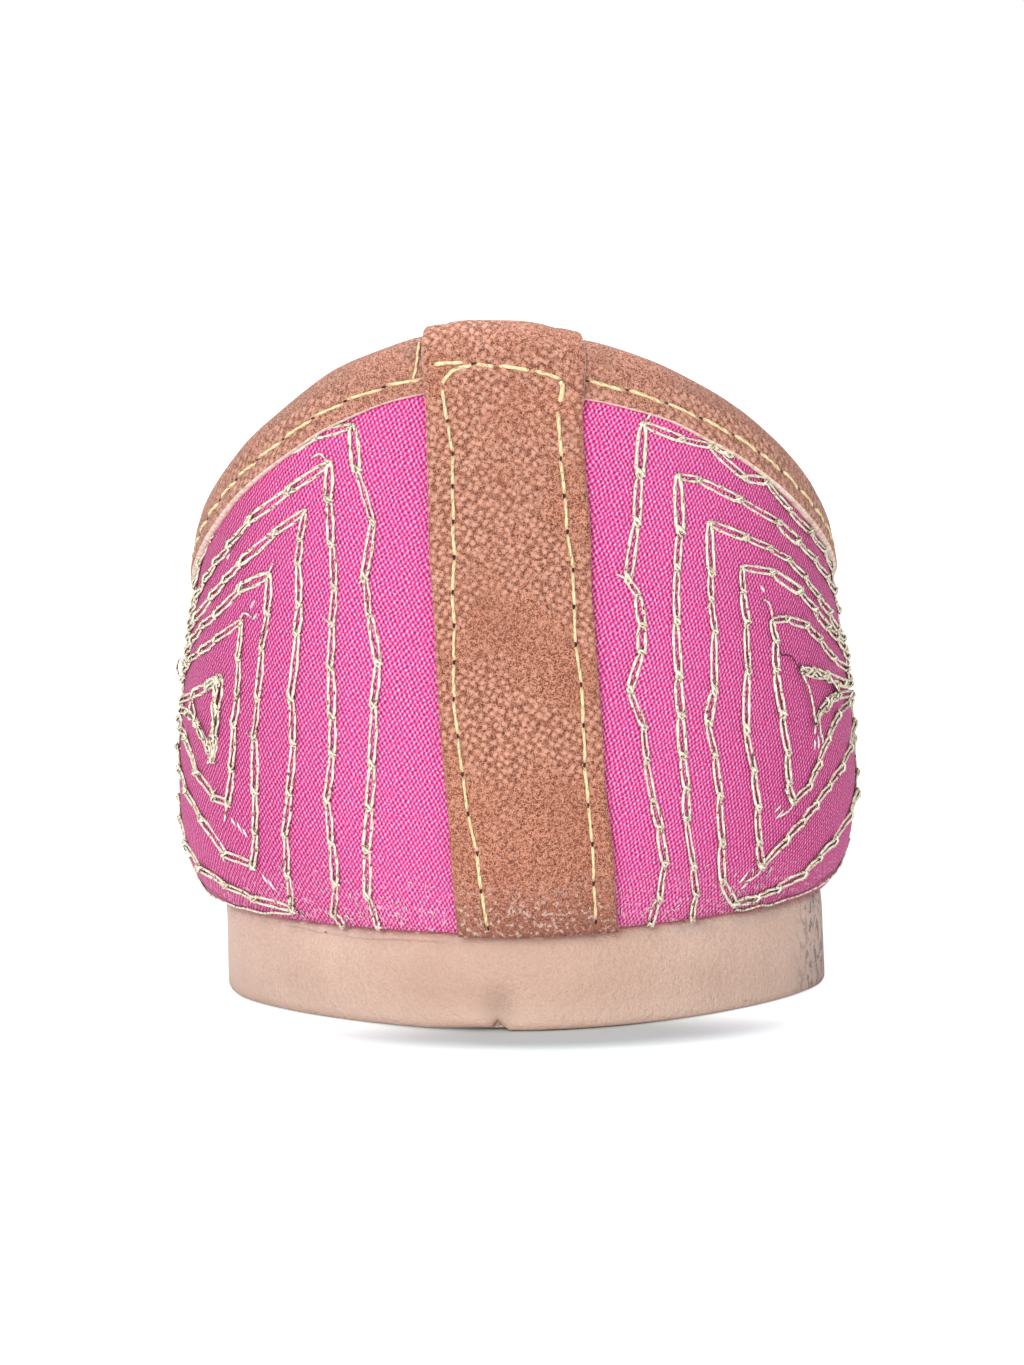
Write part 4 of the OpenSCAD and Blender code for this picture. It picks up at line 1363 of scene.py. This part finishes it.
lay_cord(threads, raised(top_right, (0.0, 0.28, 0.0)), 0.23)
beside_strip = [strip_spot(x, run, away) for x, run, away in
                ((-8.15, 55.6, 0.3), (-8.25, 54.4, 0.2), (-8.4, 53, 0.2), (-8.75, 51.9, 0.1))]
lay_cord(threads, beside_strip, 0.14)
finish_piece("heel_strip_stitches", threads, cream_thread)
finish_piece("heel_strip_needle_hole_shade", hole_shade_discs, hole_shade_and_dark_thread)

# %% [markdown]
# The shoe stands on a wide white floor under soft, even light: a large lamp behind the camera's
# left shoulder, a small one almost overhead that draws the shadow in, a weak one on the right,
# and a pale sky. The floor and the sky are white to the camera because of their own colour, but
# the floor stops glowing in a patch round the back of the heel: a painted shadow, which keeps
# the real shadow there and shows as a grey patch from any side.

# %% Floor and light
f = Finish("floor_white", Roughness=0.9, Specular_IOR_Level=0.1, Emission_Color=(1, 1, 1, 1))
f.ramp(f.noise(f.place_mm(), 0.02), (0.3, (232, 232, 232)), (0.7, (236, 236, 236)))
seen = f.add("LightPath", {}, "Is Camera Ray")
# To the camera the floor is painted a cool grey, the colour of the painted shadow; its glow lifts
# it to white elsewhere.
f.tint((222, 234, 236), 1.0, seen)
# Across the shoe the painted shadow patch is almost twice as long as it is deep
squeeze = 1.9
away = f.vector("DISTANCE", f.place_mm(scale=(1, squeeze, 1)), (4, -31 * squeeze, 0),
                out="Value")
# Painted shadow: the floor's glow fades out in the patch round the back of the heel.
f.set(f.shader, "Emission Strength", seen * (away.between(8, 33) * 0.75))
work = bmesh.new()
bmesh.ops.create_grid(work, x_segments=4, y_segments=4, size=4)
floor = bpy.data.objects.new("floor", keep_mesh("floor", work))
floor.location.z = -0.05 * MM    # a hair below the sole, which lies flat on it
scene.collection.objects.link(floor)
floor.data.materials.append(f.done())

for name, place, size, power in (("key_left", (-0.32, -1.05, 0.40), 0.45, 6.8),
                                 ("top_behind", (-0.07, 0.17, 1.08), 0.2, 9.0),
                                 ("fill_right", (0.8, -0.8, 0.5), 0.9, 0.8)):
    data = bpy.data.lights.new(name, "AREA")
    data.shape, data.size, data.energy = "DISK", size, power
    lamp = bpy.data.objects.new(name, data)
    lamp.location = place
    aim = Vector((0, 0.02, 0.03)) - lamp.location
    lamp.rotation_euler = aim.to_track_quat("-Z", "Y").to_euler()
    scene.collection.objects.link(lamp)
    print(name, "shines at", power, "W")

world = bpy.data.worlds.new("pale_sky")
scene.world = world
world.use_nodes = True
nodes, links = world.node_tree.nodes, world.node_tree.links
sky, seen = nodes["Background"], nodes.new("ShaderNodeLightPath")
strength = nodes.new("ShaderNodeMapRange")
strength.inputs["To Min"].default_value = 0.5
strength.inputs["To Max"].default_value = 1.0
links.new(seen.outputs["Is Camera Ray"], strength.inputs["Value"])
links.new(strength.outputs[0], sky.inputs["Strength"])
sky.inputs["Color"].default_value = (1, 1, 1, 1)
scene.view_settings.view_transform = "Standard"
